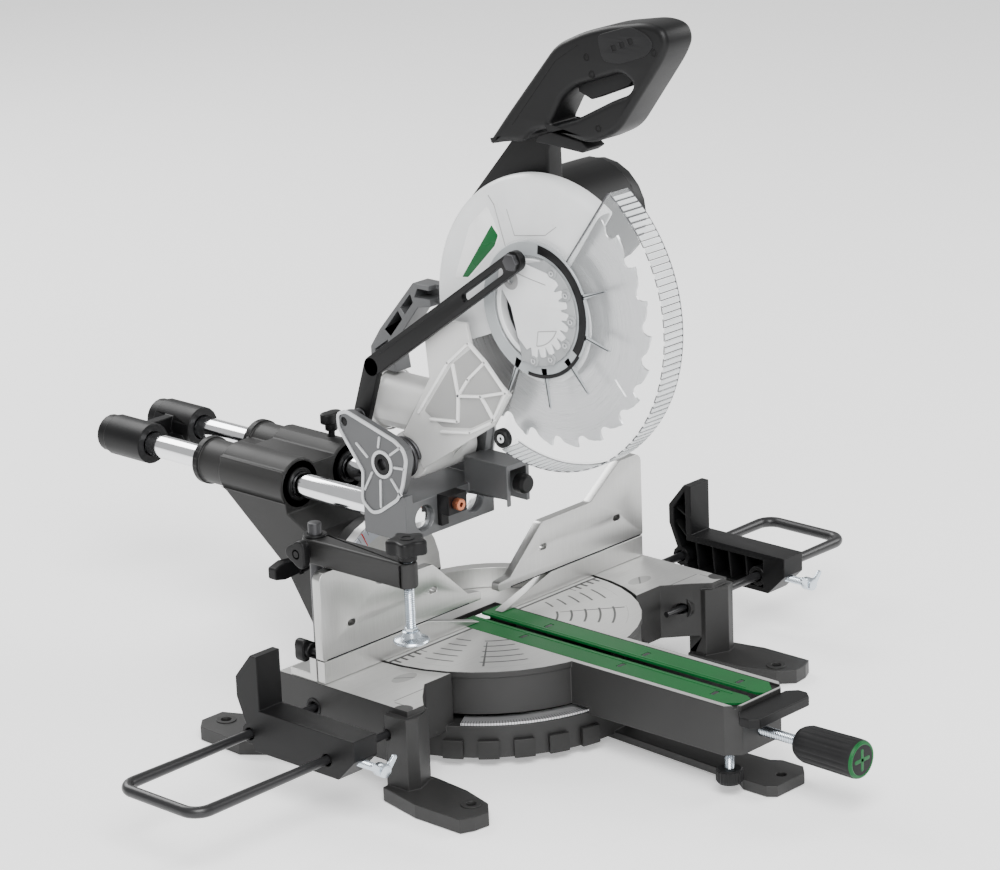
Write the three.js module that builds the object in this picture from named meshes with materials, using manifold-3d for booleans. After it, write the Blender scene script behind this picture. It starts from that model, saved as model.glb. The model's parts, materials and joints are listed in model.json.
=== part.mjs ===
// Sliding compound miter saw, in millimetres, +Z up.
// Origin: the turntable's axis on the bench. X is the operator's right, Y runs to the back.
import * as THREE from 'three';
import { mergeVertices } from 'three/addons/utils/BufferGeometryUtils.js';
import Module from 'manifold-3d';

const wasm = await Module();
wasm.setup();

// ---- Driving dimensions ----
const gap = 0.3; // between pieces that touch
const running = 0.08; // radial clearance of a turning or sliding fit

const tableHeight = 90;
const tableHalfWidth = 228;
const tableFront = -109;
const tableBack = 62;
const tableTopThickness = 6;
const castWall = 5;

const discRadius = 148;
const turningGap = 3;
const armHalfWidth = 40;
const armReach = 341;
const armBottom = 41;
const kerfHalfWidth = 5.5;
const kerfPlateHalfWidth = 33;
const kerfPlateThickness = 2.8;

const fenceThickness = 10;
const lowerFenceTop = 112;
const upperFenceTop = 199.5;

const barDiameter = 11;
const barHeight = 64;
const barFrontY = -86;
const barBackY = 16;
const loopReach = 224; // past the table's edge
const loopLeftOut = 24; // the left loop is drawn out further

const bladeDiameter = 255;
const bladeThickness = 1.8;
const toothCount = 24;
const arborDiameter = 25;
const bladeY = -90;
const bladeZ = 412;

const clampPostY = 28;
const clampScrewY = -92;
const clampPostRadius = 6.5;

const railDiameter = 25;
const railSpacing = 70;
const railHeight = 192;
const railFront = 54;
const railBack = 500;
const sleeveRadius = 24;
const sleeveFront = 225;
const sleeveBack = 359;
const bushWall = 3;

const headPivotY = 79;
const headPivotZ = 248;
const headPinDiameter = 18;
const linkPivotY = 130;
const linkPivotZ = 282;

const bevelBoltDiameter = 16;
const pivotBoltRadius = 8;
const lockStudRadius = 3.5;
const hubPlateRadius = 76;
const motorRadius = 54;
const dustPortRadius = 28;

// ---- Values that follow from them ----
const underTop = tableHeight - tableTopThickness;
const recessRadius = discRadius + turningGap;
const ringTop = 40;
const baseRadius = discRadius + 12;
const bladeRadius = bladeDiameter / 2;
const guardInner = bladeRadius + 5.5;
const guardOuter = guardInner + 3;
const rimInner = bladeRadius + 26;
const rimOuter = rimInner + 3;
const guardZ = bladeZ + 9; // the lower guard turns about a centre above the arbor
const railX = railSpacing / 2;
const railRadius = railDiameter / 2;
const barRadius = barDiameter / 2;
const sleeveBore = railRadius + running + bushWall + gap;
const pinRadius = headPinDiameter / 2;
const boltRadius = bevelBoltDiameter / 2;
const hubFaceY = discRadius - 7;
const hubBackY = hubFaceY + 11;
const barLockX = tableHalfWidth - 22;
const fenceBack = fenceThickness + 0.2;
const slabFront = fenceBack + gap;
const slabBack = slabFront + 9;
const knobX = tableHalfWidth - 6;
const knobHeight = lowerFenceTop + 6;
const clampX = tableHalfWidth - 25;
const motorY = bladeY + 50;
const motorZ = bladeZ + 66;
const collarRadius = arborDiameter + 24;
const arborRadius = arborDiameter / 2;
const loopTip = recessRadius + castWall + 6;
const lockRodHeight = 57;
const lockRodRadius = 5;
const levelX = -30;
const levelY = 15 - armReach;
const levelStudRadius = 4.5;
const slideKnobX = railX + 3;
const slideKnobY = sleeveFront + 27;
const leverY = 206;
const leverZ = 118;
const portX = 12;
const portZ = 287;

// ---- Solids ----
const alongX = new THREE.Matrix4().set(0, 0, 1, 0, 1, 0, 0, 0, 0, 1, 0, 0, 0, 0, 0, 1);
const alongY = new THREE.Matrix4().set(1, 0, 0, 0, 0, 0, -1, 0, 0, 1, 0, 0, 0, 0, 0, 1);
const latheAlong = {
  x: new THREE.Matrix4().set(0, 1, 0, 0, 0, 0, 1, 0, 1, 0, 0, 0, 0, 0, 0, 1),
  y: new THREE.Matrix4(),
  z: new THREE.Matrix4().set(0, 0, 1, 0, 1, 0, 0, 0, 0, 1, 0, 0, 0, 0, 0, 1),
};

// A closed three.js geometry as a solid that can be joined and cut.
function solidOf(geometry) {
  geometry.deleteAttribute('normal');
  geometry.deleteAttribute('uv');
  const merged = mergeVertices(geometry, 1e-4);
  return new wasm.Manifold(new wasm.Mesh({
    numProp: 3,
    vertProperties: new Float32Array(merged.attributes.position.array),
    triVerts: new Uint32Array(merged.index.array),
  }));
}

function geometryOf(solid) {
  const mesh = solid.asOriginal().simplify(0.01).getMesh();
  const geometry = new THREE.BufferGeometry();
  geometry.setAttribute('position', new THREE.BufferAttribute(mesh.vertProperties, 3));
  geometry.setIndex(new THREE.BufferAttribute(mesh.triVerts, 1));
  geometry.computeVertexNormals();
  return geometry;
}

const join = (...solids) => solids.reduce((whole, next) => whole.add(next));
const cut = (solid, ...tools) => tools.reduce((whole, tool) => whole.subtract(tool), solid);
const radians = (degrees) => degrees * Math.PI / 180;

// Points of an arc about (a, b), in the plane that the outline is drawn in.
function arc(a, b, radius, from = 0, to = 360, steps = 24) {
  const closed = Math.abs(to - from) >= 360;
  const count = closed ? steps : steps + 1;
  return Array.from({ length: count }, (_, i) => {
    const angle = radians(from + (to - from) * i / steps);
    return [a + radius * Math.cos(angle), b + radius * Math.sin(angle)];
  });
}

const sector = (a, b, inner, outer, from, to, steps = 24) => [
  ...arc(a, b, outer, from, to, steps),
  ...arc(a, b, inner, to, from, steps),
];

// A bar with round ends, between two points.
function capsule(a0, b0, a1, b1, radius, steps = 8) {
  const turn = Math.atan2(b1 - b0, a1 - a0) * 180 / Math.PI;
  return [...arc(a1, b1, radius, turn - 90, turn + 90, steps),
    ...arc(a0, b0, radius, turn + 90, turn + 270, steps)];
}

const mirrored = (points) => points.map(([a, b]) => [-a, b]).reverse();
const rectangle = (a0, b0, a1, b1) => [[a0, b0], [a1, b0], [a1, b1], [a0, b1]];

// An outline carried from low to high along an axis: (y, z) along x, (x, z) along y, (x, y) along z.
function plate(axis, outline, low, high) {
  const shape = new THREE.Shape(outline.map(([a, b]) => new THREE.Vector2(a, b)));
  const geometry = new THREE.ExtrudeGeometry(shape, { depth: high - low, bevelEnabled: false });
  if (axis === 'x') geometry.applyMatrix4(alongX).translate(low, 0, 0);
  if (axis === 'y') geometry.applyMatrix4(alongY).translate(0, high, 0);
  if (axis === 'z') geometry.translate(0, 0, low);
  return solidOf(geometry);
}

const box = (x0, y0, z0, x1, y1, z1) => plate('z', rectangle(x0, y0, x1, y1), z0, z1);
const rod = (axis, a, b, radius, low, high, sides = 16) => (
  plate(axis, arc(a, b, radius, 0, 360, sides), low, high));
const tube = (axis, a, b, outer, inner, low, high, sides = 16) => cut(
  rod(axis, a, b, outer, low, high, sides), rod(axis, a, b, inner, low - 1, high + 1, sides));

// A profile of [radius, height] points, from the axis back to the axis, turned about an axis.
function turned(axis, centre, profile, sides = 20) {
  const points = profile.map(([radius, height]) => new THREE.Vector2(radius, height));
  const geometry = new THREE.LatheGeometry(points, sides);
  geometry.applyMatrix4(latheAlong[axis]).translate(...centre);
  return solidOf(geometry);
}

// A path through points, with one step at each of them.
class Route extends THREE.Curve {
  constructor(points) {
    super();
    this.points = points.map((point) => new THREE.Vector3(...point));
  }

  getPoint(t) {
    const along = t * (this.points.length - 1);
    const i = Math.min(Math.floor(along), this.points.length - 2);
    return this.points[i].clone().lerp(this.points[i + 1], along - i);
  }

  getPointAt(t) {
    return this.getPoint(t);
  }

  getTangentAt(t) {
    return this.getTangent(t);
  }
}

// A round bar along a route.
function sweptBar(route, radius, sides) {
  const section = new THREE.Shape(arc(0, 0, radius, 0, 360, sides)
    .map(([a, b]) => new THREE.Vector2(a, b)));
  const steps = route.points.length - 1;
  return solidOf(new THREE.ExtrudeGeometry(section, { steps, extrudePath: route, bevelEnabled: false }));
}

// Lobes round a centre, for knobs that are gripped by hand.
const lobed = (a, b, radius, lobes, depth) => Array.from({ length: lobes * 6 }, (_, i) => {
  const angle = 2 * Math.PI * i / (lobes * 6);
  const reach = radius - depth * (0.5 - 0.5 * Math.cos(lobes * angle));
  return [a + reach * Math.cos(angle), b + reach * Math.sin(angle)];
});

// ---- The assembly: a group for each moving body, set at its own pivot ----
const saw = new THREE.Group();

function body(parent, x = 0, y = 0, z = 0) {
  const group = new THREE.Group();
  group.position.set(x, y, z);
  parent.add(group);
  return group;
}

// Shapes are worked out in the saw's frame and seated in their body's group.
function piece(name, group, solid, finish) {
  group.updateWorldMatrix(true, false);
  const geometry = geometryOf(solid);
  geometry.applyMatrix4(group.matrixWorld.clone().invert());
  const material = new THREE.MeshStandardMaterial(finish);
  const mesh = new THREE.Mesh(geometry, material);
  mesh.name = name;
  group.add(mesh);
}

const darkCast = { color: 0x4a4846, roughness: 0.6, metalness: 0.3 };
const grayCast = { color: 0x8d8d8d, roughness: 0.5, metalness: 0.5 };
const paleCast = { color: 0xdadad8, roughness: 0.45, metalness: 0.25 };
const aluminium = { color: 0xc4c6c6, roughness: 0.35, metalness: 0.9 };
const blackPlastic = { color: 0x1c1c1d, roughness: 0.55, metalness: 0 };
const green = { color: 0x12703a, roughness: 0.45, metalness: 0 };
const chrome = { color: 0xe6e6e8, roughness: 0.1, metalness: 1 };
const steel = { color: 0xa9adb0, roughness: 0.3, metalness: 1 };
const zinc = { color: 0xb9c3cc, roughness: 0.3, metalness: 0.9 };
const copper = { color: 0xb06a4a, roughness: 0.35, metalness: 0.9 };
const clear = { color: 0xf2f6f8, roughness: 0.1, metalness: 0, transparent: true, opacity: 0.35 };

const base = body(saw);
const turntable = body(base);
const bevelArm = body(turntable, 0, 0, tableHeight);
const slide = body(bevelArm);
const head = body(slide, 0, headPivotY, headPivotZ - tableHeight);
const bladeBody = body(head, 0, bladeY - headPivotY, bladeZ - headPivotZ);
const guardBody = body(head, 0, bladeY - headPivotY, guardZ - headPivotZ);

// ---- Base ----
const wingInner = 100;
const wingFront = tableFront + 36;
const wingOutline = [
  [wingInner, wingFront], [tableHalfWidth - 60, wingFront], [tableHalfWidth - 36, tableFront + 15],
  [tableHalfWidth - 22, tableFront], [tableHalfWidth, tableFront], [tableHalfWidth, tableBack],
  [wingInner, tableBack],
];
const wingCavity = [
  [wingInner, wingFront + castWall + 2], [tableHalfWidth - 62, wingFront + castWall + 2],
  [tableHalfWidth - 38, tableFront + 21], [tableHalfWidth - 22, tableFront + castWall],
  [tableHalfWidth - castWall, tableFront + castWall],
  [tableHalfWidth - castWall, tableBack - castWall], [wingInner, tableBack - castWall],
];
const frontFoot = [
  [tableHalfWidth - 34, -112], [tableHalfWidth - 30, -152], [tableHalfWidth - 20, -188],
  [tableHalfWidth - 6, -202], [tableHalfWidth + 11, -200], [tableHalfWidth + 24, -194],
  [tableHalfWidth + 24, -137], [tableHalfWidth + 13, -85], [tableHalfWidth - 34, -85],
];
const backFoot = [
  [tableHalfWidth - 38, 30], [tableHalfWidth, 30], [tableHalfWidth + 2, 78],
  [tableHalfWidth + 20, 102], [tableHalfWidth + 17, 160], [tableHalfWidth + 4, 172],
  [tableHalfWidth - 23, 172], [tableHalfWidth - 34, 148],
];
const footThickness = 14;
const footTop = 11; // the foot under the turntable's arm
const footHoleRadius = 5;
const frontLeg = [
  [tableHalfWidth - 30, -106], [tableHalfWidth - 6, -116], [tableHalfWidth + 6, -112],
  [tableHalfWidth + 6, -84], [tableHalfWidth - 30, -84],
];
const backLeg = [
  [tableHalfWidth - 34, 30], [tableHalfWidth - 2, 30], [tableHalfWidth - 2, tableBack],
  [tableHalfWidth - 34, tableBack],
];
const barBoss = (y, z) => rod('x', y, z, barRadius + 5, tableHalfWidth - 40, tableHalfWidth - 1, 12);

// The turntable's tail and hub plate swing through these parts of the ring and of the wings.
const tailRoom = plate('z', sector(0, 0, discRadius - 16, baseRadius + 9, 20, 160, 12), 0, 60);
const hubSweep = Math.hypot(hubPlateRadius, hubBackY + 20) + turningGap;
const hubRoom = plate('z', sector(0, 0, discRadius - 16, hubSweep, 15, 165, 24), ringTop, tableHeight + 1);

function baseCasting() {
  const recess = rod('z', 0, 0, recessRadius, ringTop, tableHeight + 1, 40);
  const rim = cut(
    rod('z', 0, 0, recessRadius + castWall, ringTop - 6, tableHeight, 40),
    box(-300, -400, 0, 300, wingFront, 200), box(-300, tableBack, 0, 300, 400, 200),
    box(-115, -400, 0, 115, 400, 200));
  const cup = cut(
    rod('z', 0, 0, baseRadius, 8, ringTop, 40),
    rod('z', 0, 0, baseRadius - castWall, 0, ringTop - 6, 40),
    tailRoom);
  const lip = tube('z', 0, 0, discRadius - 16, discRadius - 21, 8, ringTop, 24);
  let whole = join(rim, cup, lip, rod('z', 0, 0, 24, 0, ringTop, 24));
  for (let i = 0; i < 6; i += 1) {
    const rib = plate('z', rectangle(20, -2.5, discRadius - 18, 2.5), 12, ringTop - 4);
    whole = whole.add(rib.rotate([0, 0, 60 * i + 30]));
  }
  for (const side of [1, -1]) {
    const across = (points) => (side > 0 ? points : mirrored(points));
    const shell = cut(
      plate('z', across(wingOutline), ringTop - 6, tableHeight),
      plate('z', across(wingCavity), 0, underTop));
    const bosses = join(barBoss(barFrontY, barHeight), barBoss(barBackY, barHeight));
    const turn = (solid) => (side > 0 ? solid : solid.mirror([1, 0, 0]));
    whole = join(
      whole, shell, turn(bosses),
      plate('z', across(frontFoot), 0, footThickness), plate('z', across(frontLeg), 0, underTop),
      plate('z', across(backFoot), 0, footThickness), plate('z', across(backLeg), 0, underTop));
    whole = cut(
      whole,
      rod('z', side * (tableHalfWidth - 8), -178, footHoleRadius, -1, 20, 12),
      rod('z', side * (tableHalfWidth - 10), 152, footHoleRadius, -1, 20, 12),
      ...[barFrontY, barBackY].map((y) => rod('x', y, barHeight, barRadius + gap,
        side > 0 ? wingInner : -tableHalfWidth - 20, side > 0 ? tableHalfWidth + 20 : -wingInner, 12)));
  }
  const footArm = join(
    plate('z', [[-12, 16 - armReach], [36, 16 - armReach], [30, -150], [-2, -150]], 3, footTop),
    plate('z', [[-10, -25], [30, -25], [42, -14], [42, 11], [34, 23], [-8, 23], [-16, 11],
      [-16, -17]].map(([x, y]) => [x, y - armReach]), 0, footTop));
  const keepDisc = cut(
    rod('z', 0, 0, recessRadius + castWall - 0.5, ringTop - 6, ringTop, 40),
    tailRoom);
  return cut(
    join(whole, footArm, keepDisc), recess, hubRoom,
    rod('z', 14, -armReach - 10, footHoleRadius, -1, 20, 12),
    rod('z', 0, 0, pivotBoltRadius + gap, 20, ringTop + 1, 16),
    rod('z', 0, 0, 12, 6, ringTop - 12, 16),
    rod('y', barLockX, barHeight, lockStudRadius + gap, barBackY, tableBack + 1, 12),
    rod('y', -barLockX, barHeight, lockStudRadius + gap, barBackY, tableBack + 1, 12));
}

piece('base_casting', base, baseCasting(), darkCast);
piece('miter_scale', base, plate('z', sector(0, 0, discRadius - 10, baseRadius - 1, 212, 328, 24),
  ringTop + gap, ringTop + 2.6), aluminium);

// The fixed lower fence: two halves joined by a bridge behind the table's centre.
const fenceTip = 16;
const bridgeOuter = 100;
const bridgeInner = 86;
const fenceFloor = tableHeight + gap;
const fenceKnobRadius = 12;

function fenceBase() {
  const face = [
    [fenceTip, fenceFloor], [tableHalfWidth - 2, fenceFloor],
    [tableHalfWidth - 2, lowerFenceTop], [bridgeInner + 2, lowerFenceTop],
  ];
  let whole = plate('z', sector(0, 0, bridgeInner, bridgeOuter, 0, 180, 20), fenceFloor,
    lowerFenceTop - 1);
  for (const side of [1, -1]) {
    const across = (points) => (side > 0 ? points : mirrored(points));
    const slab = cut(
      plate('y', across(rectangle(tableHalfWidth - 106, fenceFloor, tableHalfWidth - 1, 152)),
        slabFront, slabBack),
      plate('y', across(rectangle(knobX - lockStudRadius - 3, knobHeight - lockStudRadius - 1,
        tableHalfWidth, 153)), slabFront - 1, slabBack + 1));
    whole = join(
      whole,
      plate('y', across(face), 0, fenceBack),
      plate('y', across(rectangle(bridgeInner + 2, fenceFloor, tableHalfWidth - 28, lowerFenceTop - 3)),
        9, slabBack),
      plate('z', across([[tableHalfWidth - 110, slabFront], [tableHalfWidth - 1, slabFront],
        [tableHalfWidth - 1, 46], [tableHalfWidth - 52, 46]]), fenceFloor, fenceFloor + 7),
      slab);
  }
  const postHole = (x) => rod('z', x, clampPostY, clampPostRadius + gap, 80, 200, 16);
  return cut(whole, postHole(-clampX), postHole(clampX));
}

function upperFence(side) {
  const floor = lowerFenceTop + 0.4;
  const profile = [
    [12, floor], [tableHalfWidth - 1, floor], [tableHalfWidth - 1, upperFenceTop - 5],
    [tableHalfWidth - 6, upperFenceTop], [tableHalfWidth - 34, upperFenceTop],
    [tableHalfWidth - 79, upperFenceTop - 32], [77, upperFenceTop - 32.5], [30, floor + 10.6],
    [13, floor + 8.6],
  ];
  return cut(
    plate('y', side > 0 ? profile : mirrored(profile), 0.2, fenceBack),
    rod('y', side * 78, 141, 3.2, -1, 20, 12),
    rod('y', side * (tableHalfWidth - 40), 141, 3.2, -1, 20, 12),
    rod('y', side * knobX, knobHeight, lockStudRadius + gap, fenceBack - 6, 20, 12));
}

// A hand knob on a stud that runs along Y.
function lockKnob(x, z, studFront, knobFront, radius, lobes) {
  return join(
    rod('y', x, z, lockStudRadius, studFront, knobFront + 2, 12),
    rod('y', x, z, radius * 0.55, knobFront, knobFront + 5, 16),
    plate('y', lobed(x, z, radius, lobes, radius * 0.3), knobFront + 4, knobFront + 15));
}

piece('fence_base', base, fenceBase(), aluminium);
for (const [side, word] of [[-1, 'left'], [1, 'right']]) {
  const fence = body(base);
  piece(`upper_fence_${word}`, fence, upperFence(side), aluminium);
  const turningKnob = body(fence, side * knobX, slabBack, knobHeight);
  piece(`fence_knob_${word}`, turningKnob,
    lockKnob(side * knobX, knobHeight, fenceBack - 5.5, slabBack + 1.5, fenceKnobRadius, 3), blackPlastic);
  const barKnob = body(base, side * barLockX, tableBack, barHeight);
  piece(`bar_lock_knob_${word}`, barKnob,
    lockKnob(side * barLockX, barHeight, barBackY + barRadius + gap, tableBack + 1.5, 12, 3),
    blackPlastic);
}

// ---- Extension loops with their stops ----
const stopCentre = { left: tableHalfWidth + 68, right: tableHalfWidth + 90 };
const stopWidth = 30;
const loopBend = 16;

function extensionLoop(side, out) {
  const tip = loopTip + out;
  const centre = tableHalfWidth + loopReach + out - barRadius - loopBend;
  const corner = (y, from, to) => arc(centre, y, loopBend, from, to, 5);
  const route = [
    [tip, barFrontY], ...corner(barFrontY + loopBend, -90, 0), ...corner(barBackY - loopBend, 0, 90),
    [tip, barBackY],
  ];
  return sweptBar(new Route(route.map(([x, y]) => [side * x, y, barHeight])), barRadius, 10);
}

function stopBracket(side, centre) {
  const profile = [
    [-122, 70], [-100, 48], [10, 48], [31, 98], [31, 118], [10, 143], [1, 143],
    [1, tableHeight], [-122, tableHeight],
  ];
  const pocket = [[-94, 53], [6, 53], [24, 96], [24, 116], [9, 136], [8, 83], [-94, 83]];
  const low = side * centre - stopWidth / 2;
  const open = side > 0 ? [low - 1, low + stopWidth - 5] : [low + 5, low + stopWidth + 1];
  const bars = [barFrontY, barBackY];
  const walls = bars.map((y) => rod('x', y, barHeight, barRadius + 5, low, low + stopWidth, 12));
  const bores = bars.map((y) => (
    rod('x', y, barHeight, barRadius + 0.5, low - 9, low + stopWidth + 9, 12)));
  const shell = cut(plate('x', profile, low, low + stopWidth), plate('x', pocket, ...open));
  return cut(
    join(shell, ...walls), ...bores,
    rod('y', side * centre, barHeight, 4.4, -130, barFrontY, 12));
}

function wingScrew(x, z) {
  const tip = barFrontY - barRadius - 0.8;
  const ears = [
    [x, z - 4], [x + 7, z - 3], [x + 17, z + 9], [x + 13, z + 12], [x + 5, z + 5],
    [x - 5, z + 5], [x - 13, z + 12], [x - 17, z + 9], [x - 7, z - 3],
  ];
  return join(
    rod('y', x, z, 4, tip - 44, tip, 12), rod('y', x, z, 6.5, tip - 56, tip - 44, 12),
    plate('y', ears, tip - 54, tip - 50.5));
}

for (const [side, word, out] of [[-1, 'left', loopLeftOut], [1, 'right', 0]]) {
  const loop = body(base);
  const stop = body(loop);
  const x = side * stopCentre[word];
  const screw = body(stop, x, barFrontY, barHeight);
  piece(`extension_loop_${word}`, loop, extensionLoop(side, out), blackPlastic);
  piece(`stop_bracket_${word}`, stop, stopBracket(side, stopCentre[word]), blackPlastic);
  piece(`wing_screw_${word}`, screw, wingScrew(x, barHeight), zinc);
}

// ---- Work clamp on the left ----
const clampArmLow = 201;
const clampArmHigh = 226;
const clampKnobZ = 214;
const clampScrewRadius = 5;
const clampPadHeight = 147;
const clampPostTop = 239;
const clampPost = body(base, -clampX, clampPostY, tableHeight);
const clampArmBody = body(clampPost, 0, 0, clampArmLow - tableHeight);
const clampScrewBody = body(clampArmBody, 0, clampScrewY - clampPostY, 0);
const clampKnobBody = body(clampArmBody, -14, 0, clampKnobZ - clampArmLow);

function clampArm() {
  const x = -clampX;
  const sides = [
    [x - 9, clampScrewY], ...arc(x, clampScrewY, 10, 180, 360, 8), [x + 9, clampPostY],
    ...arc(x, clampPostY, 12, 0, 180, 8),
  ];
  return cut(
    plate('z', sides, clampArmLow, clampArmHigh),
    rod('z', x, clampScrewY, clampScrewRadius + running * 2, 100, 300, 16),
    rod('z', x, clampPostY, clampPostRadius + running * 2, 100, 300, 16),
    rod('x', clampPostY, clampKnobZ, lockStudRadius + gap, x - 20, x, 12));
}

function clampScrew() {
  const x = -clampX;
  return join(
    rod('z', x, clampScrewY, clampScrewRadius, clampPadHeight + 4, 236, 16),
    turned('z', [x, clampScrewY, clampPadHeight],
      [[0, 0], [16, 0], [17, 2.5], [9, 5], [8, 11], [0, 11]], 20),
    rod('z', x, clampScrewY, 9, 227, 236, 16),
    plate('z', lobed(x, clampScrewY, 20, 5, 5), 234, 248));
}

piece('clamp_post', clampPost,
  rod('z', -clampX, clampPostY, clampPostRadius, tableHeight + 0.6, clampPostTop), blackPlastic);
piece('clamp_arm', clampArmBody, clampArm(), darkCast);
piece('clamp_screw', clampScrewBody, clampScrew(), zinc);
piece('clamp_post_knob', clampKnobBody, join(
  rod('x', clampPostY, clampKnobZ, lockStudRadius, -clampX - 26, -clampX - clampPostRadius - gap, 12),
  plate('x', lobed(clampPostY, clampKnobZ, 15, 3, 5), -clampX - 26, -clampX - 14)), blackPlastic);

// ---- Turntable ----
const skirtBottom = ringTop + 7;
const skirtRadius = discRadius - 1.5;
const tailHalfWidth = 42;
const kerfFront = -(armReach - 4);
const kerfBack = 26;

function turntableCasting() {
  const disc = rod('z', 0, 0, discRadius, underTop, tableHeight, 40);
  const skirt = tube('z', 0, 0, skirtRadius, skirtRadius - castWall, skirtBottom, underTop + 1, 40);
  const armTop = [
    [-armHalfWidth, 0], [-armHalfWidth, 12 - armReach], [12 - armHalfWidth, -armReach],
    [armHalfWidth - 12, -armReach], [armHalfWidth, 12 - armReach], [armHalfWidth, 0],
  ];
  const inner = armHalfWidth - castWall;
  const armHollow = [
    [-inner, 5 - discRadius], [-inner, 14 - armReach], [12 - inner, castWall - armReach],
    [inner - 12, castWall - armReach], [inner, 14 - armReach], [inner, 5 - discRadius],
  ];
  const arm = cut(
    plate('z', armTop, armBottom, tableHeight),
    plate('z', armHollow, armBottom - 1, underTop),
    box(-armHalfWidth - 1, -baseRadius - 2, 0, armHalfWidth + 1, 10, skirtBottom),
    rod('z', 0, 0, skirtRadius - castWall, 0, underTop, 40));
  const tail = cut(
    box(-tailHalfWidth, 96, skirtBottom, tailHalfWidth, hubFaceY + 2, underTop),
    box(castWall - tailHalfWidth, 90, 0, tailHalfWidth - castWall, hubFaceY - 1, underTop - 5));
  const hubPlate = cut(
    rod('y', 0, tableHeight, hubPlateRadius, hubFaceY, hubBackY, 28),
    box(-100, 100, -20, 100, 200, skirtBottom));
  const footBoss = rod('z', levelX, levelY, 9, armBottom, armBottom + 22, 16);
  const hub = rod('z', 0, 0, 24, ringTop + 0.6, underTop + 1, 24);
  const kerf = join(
    box(-9, kerfFront + 3, 60, 16, kerfBack, tableHeight + 1),
    box(-kerfPlateHalfWidth - gap, kerfFront, tableHeight - kerfPlateThickness - gap,
      kerfPlateHalfWidth + gap, kerfBack, tableHeight + 1));
  return cut(
    join(cut(join(disc, skirt, arm, tail), kerf), cut(hubPlate, kerf), footBoss, hub),
    box(-9, -60, underTop - 14, 16, kerfBack, tableHeight + 1),
    rod('y', 0, tableHeight, 14.5, hubFaceY - 14, hubFaceY, 16),
    rod('z', 0, 0, pivotBoltRadius + gap, 30, underTop - 16, 16),
    rod('z', 0, 0, 15, underTop - 22, underTop - 10, 16),
    rod('y', 0, tableHeight, boltRadius + gap, 80, 200, 24),
    rod('y', 0, lockRodHeight, lockRodRadius + gap, -armReach - 9, -armReach + 20, 16),
    rod('z', levelX, levelY, levelStudRadius + gap, 20, armBottom + 30, 12));
}

function kerfPlate(side) {
  const outer = kerfPlateHalfWidth;
  const outline = [
    [kerfHalfWidth, kerfFront + 8], [kerfHalfWidth, kerfBack - 8], [outer, kerfBack - 8],
    [outer, kerfFront + 14], [outer - 12, kerfFront + 1], [kerfHalfWidth + 4, kerfFront + 1],
  ];
  let whole = plate('z', side > 0 ? outline : mirrored(outline),
    tableHeight - kerfPlateThickness, tableHeight - 0.2);
  for (const y of [-60, -185, -300]) {
    whole = cut(whole, plate('z', rectangle(side * 18 - 5, y - 2.5, side * 18 + 5, y + 2.5), 80, 100));
  }
  return whole;
}

piece('turntable_casting', turntable, turntableCasting(), darkCast);
piece('kerf_plate_left', turntable, kerfPlate(-1), green);
piece('kerf_plate_right', turntable, kerfPlate(1), green);
piece('pivot_bolt', turntable, join(
  rod('z', 0, 0, pivotBoltRadius, ringTop - 18, underTop - 20, 16),
  rod('z', 0, 0, 13, underTop - 21.5, underTop - 15, 6),
  rod('z', 0, 0, 11, ringTop - 20, ringTop - 13, 6)), steel);
piece('bevel_scale', turntable, plate('y',
  sector(0, tableHeight, hubPlateRadius - 17, hubPlateRadius - 1, 92, 176, 24),
  hubFaceY - 1.6, hubFaceY - gap), aluminium);

const detent = body(turntable, 0, -armReach - 4, 82);
piece('detent_lever', detent, join(
  plate('z', [[-34, -armReach - gap], [-43, -armReach - 9], [-43, -armReach - 19],
    [-36, -armReach - 27], [36, -armReach - 27], [43, -armReach - 19], [43, -armReach - 9],
    [34, -armReach - gap]], 76, 86),
  plate('z', rectangle(-20, -armReach - 8, 20, -armReach - gap), 68, 78)), blackPlastic);

const miterLock = body(turntable, 0, -armReach, lockRodHeight);
const gripFront = -armReach - 116;
const gripBack = -armReach - 44;
piece('miter_lock_rod', miterLock, join(
  rod('y', 0, lockRodHeight, lockRodRadius, gripBack + gap, -baseRadius - 6, 16),
  rod('y', 0, lockRodHeight, 8, -armReach - 14, -armReach - 9, 6)), zinc);
piece('miter_lock_grip', miterLock, turned('y', [0, gripFront, lockRodHeight],
  [[0, 0], [17.5, 0], [18.5, 20], [18, 62], [13, 72], [0, 72]], 24), blackPlastic);

const levelFoot = body(turntable, levelX, levelY, armBottom);
piece('levelling_foot', levelFoot, join(
  rod('z', levelX, levelY, levelStudRadius, 20, armBottom + 16, 12),
  turned('z', [levelX, levelY, footTop + 0.6],
    [[0, 0], [12, 0], [13, 1.5], [13, 13], [12, 14.5], [0, 14.5]], 20)), blackPlastic);

// ---- Bevel arm with the rail sleeves ----
const neckHalfWidth = 46;

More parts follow.
